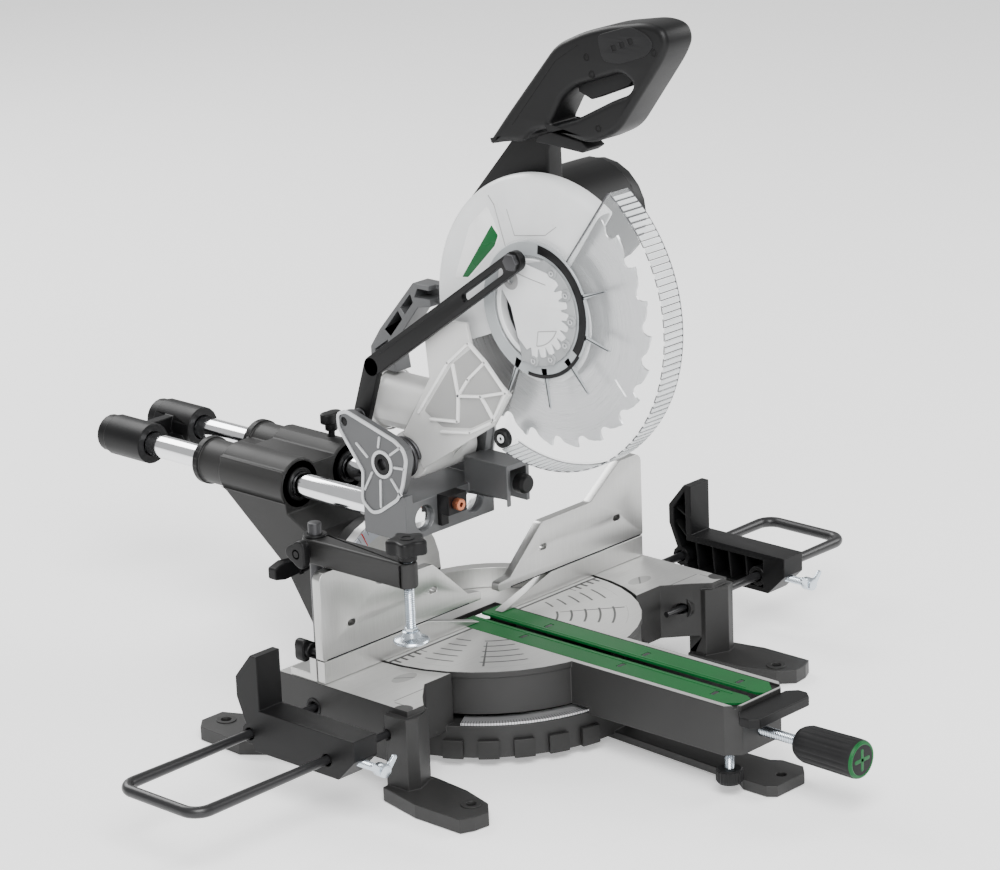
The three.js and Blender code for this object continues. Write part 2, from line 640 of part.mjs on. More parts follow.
function bevelCasting() {
  const neck = [
    [hubBackY + gap, 20], [hubBackY + 40, 28], [hubBackY + 88, 100], [sleeveBack - 42, 176],
    [sleeveBack - 42, railHeight + 18], [sleeveFront, railHeight + 18], [sleeveFront, 165],
    [hubBackY + 44, 148], [hubBackY + gap, 148],
  ];
  const pocket = [
    [hubBackY + 26, 60], [hubBackY + 60, 40], [hubBackY + 110, 100], [sleeveBack - 30, 160],
    [sleeveBack - 60, 166], [sleeveFront + 10, 158], [hubBackY + 50, 138], [hubBackY + 26, 138],
  ];
  const side = [
    [-neckHalfWidth, 0], [neckHalfWidth, 0], [neckHalfWidth, 110],
    [railX + sleeveRadius, railHeight], [railX + sleeveRadius, 240],
    [-railX - sleeveRadius, 240], [-railX - sleeveRadius, railHeight], [-neckHalfWidth, 110],
  ];
  const body = plate('x', neck, -80, 80).intersect(plate('y', side, 100, 400));
  let whole = join(
    cut(body, plate('x', pocket, 7 - neckHalfWidth, neckHalfWidth - 7)),
    rod('y', 0, tableHeight, hubPlateRadius - 4, hubBackY + gap, hubBackY + 18, 28));
  for (const x of [-railX, railX]) {
    whole = join(
      whole,
      rod('y', x, railHeight, sleeveRadius + 3, sleeveFront, sleeveBack - 42, 20),
      rod('y', x, railHeight, sleeveRadius - 1, sleeveFront, sleeveBack, 20),
      rod('y', x, railHeight, sleeveRadius + 1, sleeveBack - 8, sleeveBack, 20));
  }
  whole = join(whole, box(-railX, sleeveFront + 4, railHeight - 12, railX, sleeveBack - 6, railHeight + 12));
  return cut(
    whole,
    ...[-railX, railX].map((x) => rod('y', x, railHeight, sleeveBore, 100, 500, 24)),
    rod('y', 0, tableHeight, boltRadius + running * 2, 100, 250, 24),
    rod('y', 0, tableHeight, 16, hubBackY + 26, 250, 16),
    rod('z', slideKnobX, slideKnobY, lockStudRadius + gap, railHeight + railRadius, 260, 12),
    rod('x', leverY, leverZ, lockStudRadius + gap, -60, 0, 12));
}

piece('bevel_casting', bevelArm, bevelCasting(), darkCast);
for (const [side, word] of [[-1, 'left'], [1, 'right']]) {
  piece(`rail_bush_${word}`, bevelArm, tube('y', side * railX, railHeight,
    railRadius + running + bushWall, railRadius + running, sleeveFront + 2, sleeveBack - 2, 24), steel);
}
piece('bevel_bolt', turntable, join(
  rod('y', 0, tableHeight, boltRadius, hubFaceY - 12, hubBackY + 34, 24),
  rod('y', 0, tableHeight, 13, hubFaceY - 12, hubFaceY - gap, 6),
  rod('y', 0, tableHeight, 13, hubBackY + 26 + gap, hubBackY + 36, 6)), steel);

const bevelLock = body(bevelArm, -neckHalfWidth, leverY, leverZ - tableHeight);
piece('bevel_lock_lever', bevelLock, join(
  rod('x', leverY, leverZ, lockStudRadius, -62, -34, 12),
  rod('x', leverY, leverZ, 9, -64, -neckHalfWidth - 4, 16),
  plate('y', [[-60, leverZ - 7], [-60, leverZ + 7], [-84, leverZ + 10], [-98, leverZ + 6],
    [-98, leverZ - 6], [-84, leverZ - 9]], leverY - 6, leverY + 6)), blackPlastic);

const slideLock = body(bevelArm, slideKnobX, slideKnobY, railHeight - tableHeight);
piece('slide_lock_knob', slideLock, join(
  rod('z', slideKnobX, slideKnobY, lockStudRadius, railHeight + sleeveBore + gap, 234, 12),
  rod('z', slideKnobX, slideKnobY, 6.5, 225, 234, 12),
  plate('z', lobed(slideKnobX, slideKnobY, 13, 2, 6), 233, 244)), blackPlastic);

// ---- Slide: rails, rear cap and carriage ----
const capFront = railBack - 55;
const capBack = railBack + 12;
const blockFront = 50;
const blockBack = 108;
const blockBottom = 173;
const blockTop = 211;
const earOuter = 61;
const earThickness = 11;
const linkPinRadius = 4;

for (const [side, word] of [[-1, 'left'], [1, 'right']]) {
  piece(`rail_${word}`, slide, rod('y', side * railX, railHeight, railRadius, railFront, railBack, 24),
    chrome);
}

function rearCap() {
  const barrels = [-railX, railX].map((x) => join(
    rod('y', x, railHeight, railRadius + 9, capFront, capBack - 12, 20),
    rod('y', x, railHeight, railRadius + 7, capBack - 12, capBack, 20)));
  const web = join(
    box(-railX, capFront + 10, railHeight - 16, railX, capBack - 16, railHeight - 6),
    box(-railX, capFront + 26, railHeight - 10, railX, capFront + 38, railHeight + 12));
  return cut(
    join(...barrels, web),
    ...[-railX, railX].map((x) => rod('y', x, railHeight, railRadius + gap, 400, railBack + gap, 24)));
}
piece('rear_cap', slide, rearCap(), blackPlastic);

const earOutline = [
  [headPivotY + 6, 199], [headPivotY - 20, 216], [headPivotY - 27, 232],
  [headPivotY - 33, headPivotZ + 10], [headPivotY - 30, headPivotZ + 20],
  [headPivotY - 18, headPivotZ + 27], [linkPivotY - 4, linkPivotZ + 11],
  ...arc(linkPivotY, linkPivotZ, 10, 80, -60, 6), [headPivotY + 26, headPivotZ - 12],
  [headPivotY + 29, 205], [headPivotY + 16, 196],
];
const earLower = [[blockFront, blockBottom], [blockBack, blockBottom], [blockBack, 214], [blockFront, 220]];

function carriage() {
  const block = box(-earOuter, blockFront, blockBottom, earOuter + 2, blockBack, blockTop);
  const ears = [
    plate('x', earOutline, -earOuter, earThickness - earOuter),
    plate('x', earOutline, earOuter + 2 - earThickness, earOuter + 2),
    plate('x', earLower, -earOuter, earThickness - earOuter),
    plate('x', earLower, earOuter + 2 - earThickness, earOuter + 2),
  ];
  const nose = cut(box(28, -2, 196, 60, blockFront + 6, 238), box(33, -8, 190, 55, blockFront - 4, 232));
  const hollow = box(-railX + railRadius + 5, blockFront + 6, blockBottom - 1,
    railX - railRadius - 5, blockBack - 6, blockTop - 6);
  return cut(
    join(block, ...ears, nose, rod('x', headPivotY, headPivotZ, pinRadius + 5, -earOuter, -26, 20)),
    hollow,
    ...[-railX, railX].map((x) => rod('y', x, railHeight, railRadius + gap, 0, 200, 24)),
    rod('x', headPivotY, headPivotZ, pinRadius + gap, -100, 100, 28),
    rod('x', linkPivotY, linkPivotZ, linkPinRadius + gap, -100, 0, 16));
}
piece('carriage', slide, carriage(), grayCast);
piece('head_pivot_pin', slide,
  rod('x', headPivotY, headPivotZ, pinRadius, 3 - earOuter, earOuter - 1, 28), steel);
piece('stop_buffer', slide, turned('y', [44, -15, 218],
  [[0, 0], [8, 0], [10, 3], [10, 12.6], [0, 12.6]], 16), blackPlastic);

// The torsion spring's coils round the pivot boss.
const springFrom = 14.5 - earOuter;
const springTo = 33 - earOuter;
const springTurns = 3.5;
const springSteps = 42;
const springCoils = Array.from({ length: springSteps + 1 }, (_, i) => {
  const angle = 2 * Math.PI * springTurns * i / springSteps;
  return [springFrom + (springTo - springFrom) * i / springSteps,
    headPivotY + (pinRadius + 9.5) * Math.cos(angle), headPivotZ + (pinRadius + 9.5) * Math.sin(angle)];
});
piece('return_spring', slide, sweptBar(new Route(springCoils), 2.2, 6), steel);

const depthStop = body(slide);
piece('depth_stop', depthStop, cut(
  join(box(-18, 34, 192, 8, blockFront - gap, 212), box(-18, 44, 180, -8, blockFront - gap, 194)),
  rod('y', -8, 203, 3.3, 30, blockFront, 12)), blackPlastic);
const depthScrew = body(depthStop, -8, 34, 203);
piece('depth_stop_screw', depthScrew, join(
  rod('y', -8, 203, 3, 28, blockFront - 1.5, 12), rod('y', -8, 203, 6, 26, 33.5, 16)), copper);

// ---- Head: arm, guard housing, motor, handle ----
const armLeft = -25;
const armRight = 14;
const boss = pinRadius + 15;

function headArm() {
  const pivotBoss = rod('x', headPivotY, headPivotZ, boss, armLeft + 1, 48, 28);
  const block = [
    [headPivotY + 22, headPivotZ + 8], [headPivotY + 2, headPivotZ + 26], [headPivotY - 18, headPivotZ + 62],
    [headPivotY - 54, headPivotZ + 68], [headPivotY - 66, headPivotZ + 42],
    [headPivotY - 24, headPivotZ + 4], [headPivotY - 8, headPivotZ - 20],
  ];
  const cheek = [
    [headPivotY + 6, headPivotZ + 22], [46, 332], [52, 392], [-6, 396], [-12, 372], [-34, 352],
    [-60, 334], [-38, 300], [3, 274], [headPivotY - 20, headPivotZ - 10],
  ];
  const sideArm = [
    [headPivotY + 20, headPivotZ + 10], [60, 330], [52, 404], [18, 470], [-60, 476], [-132, 440],
    [-136, 390], [-100, 364], [-60, 340], [headPivotY - 66, headPivotZ + 42],
    [headPivotY - 16, headPivotZ - 16],
  ];
  const gearCase = join(
    rod('x', bladeY, bladeZ, 46, armRight, 34, 24),
    rod('x', motorY, motorZ, motorRadius - 2, armRight, 34, 24));
  const wide = join(
    plate('x', block, armLeft + 5, armRight),
    plate('x', cheek, armLeft, armLeft + 4.5),
    plate('x', sideArm, armRight - 0.7, armRight + 9));
  const open = plate('x', [
    [56, 330], [46, 386], [6, 392], [-4, 356], [30, 318],
  ], armRight - 2, armRight + 20);
  return cut(
    join(cut(wide, open), pivotBoss, gearCase),
    rod('x', headPivotY, headPivotZ, pinRadius + running, -100, 100, 28),
    rod('y', portX, portZ, dustPortRadius + gap, 40, 200, 24),
    rod('x', bladeY, bladeZ, arborRadius + running, 0, 60, 24),
    rod('x', motorY, motorZ, motorRadius - 14, armRight + 6, 60, 20));
}

piece('head_arm', head, headArm(), paleCast);

// A channel with round shoulders, turned about the blade's axis and kept over its arc.
function upperGuard() {
  const skin = 2.6;
  const half = 11;
  const shoulder = 9;
  const channel = (radius, reach, bend) => turned('x', [0, bladeY, bladeZ], [
    [0, -reach], [radius - bend, -reach], [radius - 0.3 * bend, 0.3 * bend - reach],
    [radius, bend - reach], [radius, reach - bend], [radius - 0.3 * bend, reach - 0.3 * bend],
    [radius - bend, reach], [0, reach],
  ], 60);
  const kept = join(
    plate('x', [[bladeY, bladeZ], ...arc(bladeY, bladeZ, guardOuter + 9, -22, 125, 28)], -half, half),
    rod('x', bladeY, bladeZ, 62, -half, half, 28));
  const shell = cut(channel(guardOuter, half, shoulder), channel(guardInner, half - skin, shoulder - skin));
  return cut(
    join(
      shell.intersect(kept),
      rod('x', bladeY, guardZ, collarRadius, -half - 7, -half + 1, 28),
      ...[[-120, 470], [-10, 440], [-60, 500]].map(([y, z]) => rod('x', y, z, 6, half - 1,
        armRight - 1, 12))),
    rod('x', bladeY, guardZ, collarRadius - 5, -60, 0, 28),
    rod('x', bladeY, bladeZ, 27, 0, 60, 20));
}
piece('upper_guard', head, upperGuard(), paleCast);

piece('dust_port', head, cut(
  join(rod('y', portX, portZ, dustPortRadius, 66, 146, 24),
    rod('y', portX, portZ, dustPortRadius + 3, 138, 146, 24)),
  rod('y', portX, portZ, dustPortRadius - 3, 70, 150, 24),
  rod('x', headPivotY, headPivotZ, boss + gap, -60, 60, 28)), darkCast);

function motorShell() {
  const facets = arc(motorY, motorZ, motorRadius, 9, 369, 20);
  const shell = cut(
    join(plate('x', facets, 34 + gap, 130), turned('x', [130, motorY, motorZ],
      [[0, -1], [motorRadius - 2, -1], [motorRadius - 3, 12], [motorRadius - 14, 24], [0, 24]], 20)),
    plate('x', arc(motorY, motorZ, motorRadius - 4, 9, 369, 20), 40, 140));
  const vents = [0, 1, 2, 3, 4, 5].map((i) => (
    box(146, motorY - 26 + 10 * i, motorZ - 22, 160, motorY - 22 + 10 * i, motorZ + 22)));
  return cut(shell, rod('x', motorY, motorZ, 12, 20, 60, 16), ...vents);
}
piece('motor_housing', head, motorShell(), blackPlastic);
const rotorBody = body(head, 0, motorY - headPivotY, motorZ - headPivotZ);
piece('motor_rotor', rotorBody, join(
  rod('x', motorY, motorZ, motorRadius - 16, 52, 122, 20),
  rod('x', motorY, motorZ, 8, 24, 136, 16)), copper);

piece('arbor', bladeBody, join(
  rod('x', bladeY, bladeZ, arborRadius - running, -7, 44, 24),
  rod('x', bladeY, bladeZ, 24, bladeThickness / 2 + gap, 7, 24)), steel);
piece('blade_flange', bladeBody, cut(
  join(rod('x', bladeY, bladeZ, 24, -11, -bladeThickness / 2 - gap, 24),
    rod('x', bladeY, bladeZ, 9, -16, -10, 6)),
  rod('x', bladeY, bladeZ, arborRadius, -7.4, 0, 24)), steel);

function sawBlade() {
  const gullet = 9;
  const pitch = 360 / toothCount;
  const points = [];
  for (let i = 0; i < toothCount; i += 1) {
    const start = i * pitch;
    for (const [share, reach] of [
      [0, bladeRadius], [0.5, bladeRadius - 4], [0.72, bladeRadius - gullet],
      [0.92, bladeRadius - gullet],
    ]) {
      const angle = radians(start + share * pitch);
      points.push([bladeY + reach * Math.cos(angle), bladeZ + reach * Math.sin(angle)]);
    }
  }
  return cut(
    plate('x', points, -bladeThickness / 2, bladeThickness / 2),
    rod('x', bladeY, bladeZ, arborRadius, -5, 5, 24));
}
piece('saw_blade', bladeBody, sawBlade(), steel);

// ---- Handle, trigger and levers ----
const handleHalfWidth = 20;

function handle() {
  const outline = [
    [26, 498], [-64, 605], [-125, 676], [-160, 692], [-190, 701], [-238, 708], [-252, 705],
    [-259, 692], [-252, 676], [-198, 605], [-162, 590], [-112, 598], [-92, 590], [-84, 566], [-84, 505],
  ];
  const opening = [
    [-117, 601], [-132, 627], [-150, 640], [-206, 659], [-219, 652], [-214, 642], [-194, 634],
    [-150, 612],
  ];
  const triggerRoom = [[-140, 630], [-144, 656], [-206, 680], [-224, 662], [-214, 640], [-160, 622]];
  const foot = [[20, 500], [-30, 572], [-84, 572], [-84, 505]];
  const shell = cut(
    join(plate('x', outline, -handleHalfWidth, handleHalfWidth), plate('x', foot, 12, 34)),
    plate('x', opening, -50, 50),
    plate('x', triggerRoom, -9, 9));
  return cut(
    shell,
    rod('x', bladeY, guardZ, rimOuter + 2.2, -50, 12.5, 60),
    rod('x', motorY, motorZ, motorRadius + gap, 0, 60, 28));
}
piece('main_handle', head, handle(), blackPlastic);

const triggerBody = body(head, 0, -150 - headPivotY, 642 - headPivotZ);
piece('trigger', triggerBody, plate('x', [
  [-144, 634], [-147, 648], [-200, 668], [-213, 656], [-206, 646], [-160, 628],
], -8, 8), blackPlastic);

const releaseBody = body(head, 0, -96 - headPivotY, 580 - headPivotZ);
piece('guard_release_lever', releaseBody, plate('x', [
  [-93, 580.6], [-95, 587], [-112, 593], [-150, 588.5], [-158, 583], [-150, 578], [-108, 580.2],
], -12, 12), blackPlastic);

function carryHandle() {
  const outline = [
    [54, 396], [54, 414], [90, 414], [138, 360], [152, 340], [152, portZ + dustPortRadius + 3.4],
    [118, portZ + dustPortRadius + 3.4], [122, 340], [116, 350], [84, 390],
  ];
  const windows = [
    [[64, 401], [64, 409], [84, 409], [88, 400]],
    [[94, 402], [108, 386], [103, 380], [91, 394]],
    [[112, 382], [130, 361], [123, 356], [107, 375]],
    [[128, 350], [146, 338], [146, 326], [127, 326]],
  ];
  return cut(
    plate('x', outline, 2, 24),
    ...windows.map((window) => plate('x', window, 0, 18)),
    rod('x', bladeY, guardZ, rimOuter + 2, -20, armRight - 1, 60),
    plate('x', [[40, 380], [53.4, 380], [52.4, 404.5], [40, 430]], 10, 30));
}
piece('carry_handle', head, carryHandle(), grayCast);

// ---- Lower guard and its link ----
const guardFrom = 127;
const guardTo = 291;
const guardWallLeft = -15.5;
const hubRingOuter = 66;

function lowerGuard() {
  const wall = [guardWallLeft, guardWallLeft + 2.3];
  return cut(
    join(
      plate('x', sector(bladeY, guardZ, collarRadius + gap, rimOuter - 1, guardFrom, guardTo, 28), ...wall),
      rod('x', bladeY, guardZ, hubRingOuter + 2, ...wall, 28),
      plate('x', sector(bladeY, guardZ, rimInner, rimOuter, guardFrom, guardTo, 34), guardWallLeft, 11)),
    rod('x', bladeY, guardZ, collarRadius + gap, -30, 0, 28));
}
piece('lower_guard', guardBody, lowerGuard(), clear);

// A plate that holds the guard on its collar, with a thicker face whose edge is cut into teeth.
function hubPlate() {
  const at = (radius, angle) => arc(bladeY, guardZ, radius, angle, angle + 1, 1)[0];
  const teeth = [];
  for (let angle = 130; angle < 280; angle += 15) {
    teeth.push(at(44, angle), at(45, angle + 8), at(36, angle + 10));
  }
  const backEdge = [[16, -53], [20, -29], [28, 0], [44, 22], [42, 36], [26, 46], [8, 44], [-14, 50]]
    .map(([y, z]) => [bladeY + y, guardZ + z]);
  const low = guardWallLeft - 4.8;
  const disc = [...arc(bladeY, guardZ, 53, 106, 286, 20), ...backEdge];
  return join(
    plate('x', disc, low, guardWallLeft - 2.2 - gap),
    plate('x', [at(44, 120), ...teeth, at(40, 282), ...backEdge.slice(1, -1)], low - 1.5, low + 0.5));
}
piece('guard_hub_plate', guardBody, hubPlate(), paleCast);

function guardRing() {
  const fins = [160, 195, 228, 261, 294].map((angle) => plate('x', [
    [bladeY + 60 * Math.cos(radians(angle - 3)), guardZ + 60 * Math.sin(radians(angle - 3))],
    [bladeY + 95 * Math.cos(radians(angle)), guardZ + 95 * Math.sin(radians(angle))],
    [bladeY + 60 * Math.cos(radians(angle + 3)), guardZ + 60 * Math.sin(radians(angle + 3))],
  ], guardWallLeft - 2.2, guardWallLeft - gap));
  const ring = sector(bladeY, guardZ, 52, hubRingOuter, 0, 360, 28);
  return cut(
    join(plate('x', ring, guardWallLeft - 2.2, guardWallLeft - gap), ...fins),
    rod('x', bladeY, guardZ, 51, -60, 0, 28));
}
piece('guard_ring', guardBody, guardRing(), blackPlastic);

const [rollerY, rollerZ] = arc(bladeY, guardZ, rimInner - 12.5, guardTo - 2, guardTo, 1)[0];
const roller = body(guardBody, 0, rollerY - bladeY, rollerZ - guardZ);
piece('guard_roller', roller, rod('x', rollerY, rollerZ, 9.5, guardWallLeft - 8, guardWallLeft - gap, 20),
  blackPlastic);

const link = body(slide, 0, linkPivotY, linkPivotZ - tableHeight);
function linkRod() {
  const topY = -83;
  const topZ = 471;
  const bendY = 112;
  const bendZ = 335;
  return cut(
    join(
      plate('x', capsule(topY, topZ, bendY, bendZ, 10), -38, -30.5),
      plate('x', capsule(bendY, bendZ, linkPivotY, linkPivotZ, 10), -38, -30.5),
      rod('x', topY, topZ, 6.5, -41, -27, 16),
      rod('x', linkPivotY, linkPivotZ, linkPinRadius, 1 - earOuter, -38, 16)),
    plate('x', capsule(-66, 459, -18, 425.5, 3.6), -50, -20));
}
piece('guard_link', link, linkRod(), blackPlastic);

export default saw;
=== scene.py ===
"""A sliding compound miter saw: its surfaces and finishes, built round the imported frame."""
import json
import math

import bmesh
import bpy
import numpy as np
from mathutils import Matrix, Vector
from mathutils.geometry import tessellate_polygon


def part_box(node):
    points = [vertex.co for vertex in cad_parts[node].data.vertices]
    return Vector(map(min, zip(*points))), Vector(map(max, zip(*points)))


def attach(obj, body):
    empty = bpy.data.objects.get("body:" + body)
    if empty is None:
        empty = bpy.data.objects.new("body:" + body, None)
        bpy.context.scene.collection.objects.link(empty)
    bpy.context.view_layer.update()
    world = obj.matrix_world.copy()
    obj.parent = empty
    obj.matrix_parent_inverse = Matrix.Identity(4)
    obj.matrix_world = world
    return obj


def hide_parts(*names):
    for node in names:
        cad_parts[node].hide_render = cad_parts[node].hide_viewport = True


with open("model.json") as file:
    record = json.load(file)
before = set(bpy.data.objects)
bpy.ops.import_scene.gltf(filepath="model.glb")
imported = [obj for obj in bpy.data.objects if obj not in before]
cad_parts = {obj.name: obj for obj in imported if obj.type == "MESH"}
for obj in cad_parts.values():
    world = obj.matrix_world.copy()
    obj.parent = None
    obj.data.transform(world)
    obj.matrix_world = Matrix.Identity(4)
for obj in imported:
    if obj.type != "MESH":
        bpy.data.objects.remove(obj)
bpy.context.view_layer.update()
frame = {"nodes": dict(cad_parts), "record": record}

MM = 0.001
BODY_OF = {node: body for body, nodes in frame["record"]["behaviour"]["bodies"].items() for node in nodes}
JOINTS = {joint["child"]: joint for joint in frame["record"]["behaviour"]["joints"]}


def corners(node):
    """The node's lowest and highest corners in millimetres."""
    low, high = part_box(node)
    return np.array(low) / MM, np.array(high) / MM


def middle(node):
    """The middle of the node's box in millimetres."""
    return sum(corners(node)) / 2


def pivot(body):
    """The point that a body's hinge turns about, in millimetres."""
    return np.array(JOINTS[body]["pos_m"]) / MM


BLADE_Y, BLADE_Z = pivot("blade")[1:]
HEAD_Y, HEAD_Z = pivot("head")[1:]
LINK_Y, LINK_Z = pivot("guard_link")[1:]
GUARD_Z = pivot("guard")[2]
GUARD_HALF = 11.0  # half the upper guard's width
GUARD_SKIN = 2.6
TABLE_TOP = pivot("bevel_arm")[2]
TABLE_RIGHT = corners("upper_fence_right")[1][0] + 1
ARM_FRONT = pivot("miter_lock")[1]
BAR_Z = 64
BAR_YS = (-86, 16)
RAIL_LOW, RAIL_HIGH = corners("rail_right")
RAIL_R = (RAIL_HIGH[2] - RAIL_LOW[2]) / 2
RAIL_X = RAIL_HIGH[0] - RAIL_R
RAIL_Z = RAIL_HIGH[2] - RAIL_R
SIDES = ((-1, "left"), (1, "right"))


# ---- Camera and studio ----

def add_camera():
    """Looks from the front left and a little above, turned slightly about its own line of sight."""
    azimuth, elevation, roll = np.radians([-46.209, 17.652, -2.241])
    aim, distance, focal = np.array([0.076, -21.56, 281.268]), 3575.4, 134.3
    back = np.array([math.sin(azimuth) * math.cos(elevation), -math.cos(azimuth) * math.cos(elevation),
                     math.sin(elevation)])
    level = np.array([math.cos(azimuth), math.sin(azimuth), 0.0])
    above = np.cross(back, level)
    right = math.cos(roll) * level + math.sin(roll) * above
    up = -math.sin(roll) * level + math.cos(roll) * above
    place = (aim + distance * back) * MM
    data = bpy.data.cameras.new("camera")
    data.sensor_width = 36
    data.lens = focal
    data.clip_end = 50
    camera = bpy.data.objects.new("camera", data)
    turn = Matrix([right, up, back]).transposed().to_4x4()
    camera.matrix_world = Matrix.Translation(Vector(place)) @ turn
    bpy.context.collection.objects.link(camera)
    bpy.context.scene.camera = camera


def add_light(name, place, size, power, aim=(0, 0, 0.25)):
    """A square soft light that faces the point aimed at."""
    data = bpy.data.lights.new(name, "AREA")
    data.size = size
    data.energy = power
    light = bpy.data.objects.new(name, data)
    light.location = place
    light.rotation_euler = (Vector(aim) - Vector(place)).to_track_quat("-Z", "Y").to_euler()
    bpy.context.collection.objects.link(light)


def add_studio():
    """Four soft lights, in metres and watts, and an even white world."""
    add_light("key", (-1.4, -1.6, 2.4), 1.6, 120)
    add_light("side", (2.4, -1.2, 1.6), 1.4, 45)
    add_light("rim", (0.4, 2.6, 2.2), 1.8, 85)
    add_light("front", (-2.2, -2.6, 0.7), 1.2, 16)
    world = bpy.data.worlds.new("studio")
    world.use_nodes = True
    backdrop = world.node_tree.nodes["Background"].inputs
    backdrop["Color"].default_value = (1, 1, 1, 1)
    backdrop["Strength"].default_value = 0.6
    bpy.context.scene.world = world


# ---- Shader maths ----

class Socket:
    """A shader output that adds Math nodes when it is used in an expression."""

    def __init__(self, finish, link):
        self.finish = finish
        self.link = link

    def math(self, operation, *values):
        return self.finish.node("ShaderNodeMath", {"operation": operation}, values)

    def __add__(self, other):
        return self.math("ADD", self, other)

    __radd__ = __add__

    def __sub__(self, other):
        return self.math("SUBTRACT", self, other)

    def __rsub__(self, other):
        return self.math("SUBTRACT", other, self)

    def __mul__(self, other):
        return self.math("MULTIPLY", self, other)

    __rmul__ = __mul__

    def __truediv__(self, other):
        return self.math("DIVIDE", self, other)

    def __mod__(self, other):
        return self.math("FLOORED_MODULO", self, other)

    def __abs__(self):
        return self.math("ABSOLUTE", self)

    def root(self):
        return self.math("SQRT", self)

    def capped(self):
        """The value, but no more than 1."""
        return self.math("MINIMUM", self, 1.0)

    def bearing(self, across):
        """The angle in degrees whose tangent is this value over the one across."""
        return self.math("ARCTAN2", self, across) * (180 / math.pi)


class Finish:
    """A material in the making, with the node calls that its pattern needs."""

    def __init__(self, name, color, roughness, metallic=0.0, **fixed):
        self.material = bpy.data.materials.new(name)
        self.material.use_nodes = True
        self.nodes = self.material.node_tree.nodes
        self.links = self.material.node_tree.links
        self.shader = self.nodes["Principled BSDF"]
        self.put("Base Color", (*color, 1))
        self.put("Roughness", roughness)
        self.put("Metallic", metallic)
        for name_of, value in fixed.items():
            self.put(name_of.replace("_", " "), value)

    def put(self, name, value):
        """Sets one of the Principled shader's sockets, or links it."""
        if isinstance(value, Socket):
            self.links.new(value.link, self.shader.inputs[name])
        else:
            self.shader.inputs[name].default_value = value

    def node(self, kind, settings, values=(), output=0):
        """Adds a node: its settings first, then its inputs by place or by name."""
        node = self.nodes.new(kind)
        for key, value in settings.items():
            setattr(node, key, value)
        pairs = values.items() if isinstance(values, dict) else enumerate(values)
        for key, value in pairs:
            if isinstance(value, Socket):
                self.links.new(value.link, node.inputs[key])
            else:
                node.inputs[key].default_value = value
        return Socket(self, node.outputs[output])

    def object_place(self):
        return self.node("ShaderNodeTexCoord", {}, output="Object")

    def place(self):
        """The point's x, y and z in millimetres."""
        split = self.node("ShaderNodeSeparateXYZ", {}, [self.object_place()])
        return [Socket(self, split.link.node.outputs[i]) * 1000 for i in range(3)]

    def noise(self, size_mm, detail=2.0, stretch=(1, 1, 1), rough=0.5):
        """Noise whose lumps are about size_mm across, drawn out along an axis by stretch."""
        where = self.node("ShaderNodeMapping", {}, {"Vector": self.object_place(),
                                                    "Scale": [1 / s for s in stretch]})
        return self.node("ShaderNodeTexNoise", {}, {"Vector": where, "Scale": 1000 / size_mm,
                                                    "Detail": detail, "Roughness": rough})

    def rises(self, value, edge, soft):
        """0 below the edge and 1 above it, with a ramp of the width soft."""
        return self.node("ShaderNodeMath", {"operation": "MULTIPLY_ADD", "use_clamp": True},
                         [value - edge, 1 / soft, 0.5])

    def stripe(self, value, centre, half, soft=0.2):
        """1 within half of the centre and 0 outside."""
        return 1 - self.rises(abs(value - centre), half, soft)

    def between(self, value, low, high, soft=1):
        """1 from low to high and 0 outside, with a ramp at each end."""
        return self.rises(value, low, soft) * (1 - self.rises(value, high, soft))

    def mix(self, mask, first, second):
        """The first colour where the mask is 0 and the second where it is 1."""
        ends = [end if isinstance(end, Socket) else (*end, 1) for end in (first, second)]
        return self.node("ShaderNodeMix", {"data_type": "RGBA"}, {0: mask, 6: ends[0], 7: ends[1]}, 2)

    def bump(self, height, depth_mm, before=None):
        values = {"Strength": 1.0, "Distance": depth_mm * MM, "Height": height}
        if before is not None:
            values["Normal"] = before
        return self.node("ShaderNodeBump", {}, values)


# ---- Finishes ----

DARK = (0.022, 0.0218, 0.0215)
GRAY = (0.11, 0.112, 0.115)
PALE = (0.62, 0.62, 0.61)
BLACK = (0.004, 0.004, 0.0043)
GREEN = (0.002, 0.09, 0.02)
WHITE = (0.7, 0.71, 0.715)


def shaded(color, factor):
    return tuple(channel * factor for channel in color)


def mottled(finish, color, roughness, patches, tones, spread, grain, depth):
    """Slow patches that change tone between two factors and gloss by the spread, over a fine grain."""
    slow = finish.noise(*patches)
    finish.put("Base Color", finish.mix(slow, *[shaded(color, tone) for tone in tones]))
    finish.put("Roughness", roughness + spread * slow)
    finish.put("Normal", finish.bump(finish.noise(*grain), depth))
    return finish


def cast_finish(name, color, roughness, metallic, grain=0.05):
    """Powder-coated casting: a fine orange peel, with slow changes of tone and gloss."""
    finish = Finish(name, color, roughness, metallic, Specular_IOR_Level=0.35)
    return mottled(finish, color, roughness - 0.08, (60, 3), (0.82, 1.18), 0.16, (1.1, 3), grain)


def plastic_finish(name, color, roughness, grain=0.03):
    """Moulded plastic with a spark-eroded grain and faint flow marks."""
    finish = Finish(name, color, roughness, Specular_IOR_Level=0.22)
    return mottled(finish, color, roughness - 0.06, (35, 2), (0.8, 1.25), 0.12, (0.5, 2), grain)


def brushed_finish(name, color, roughness, stretch, metallic=1.0, depth=0.012):
    """Brushed metal: noise drawn out along the strokes drives tone, gloss and a shallow bump."""
    finish = Finish(name, color, roughness, metallic)
    strokes = finish.noise(0.9, 4, stretch, 0.65)
    wide = finish.noise(40, 2)
    finish.put("Base Color", finish.mix(strokes, shaded(color, 0.78), shaded(color, 1.12)))
    finish.put("Roughness", roughness - 0.1 + 0.14 * strokes + 0.06 * wide)
    finish.put("Normal", finish.bump(strokes, depth))
    return finish


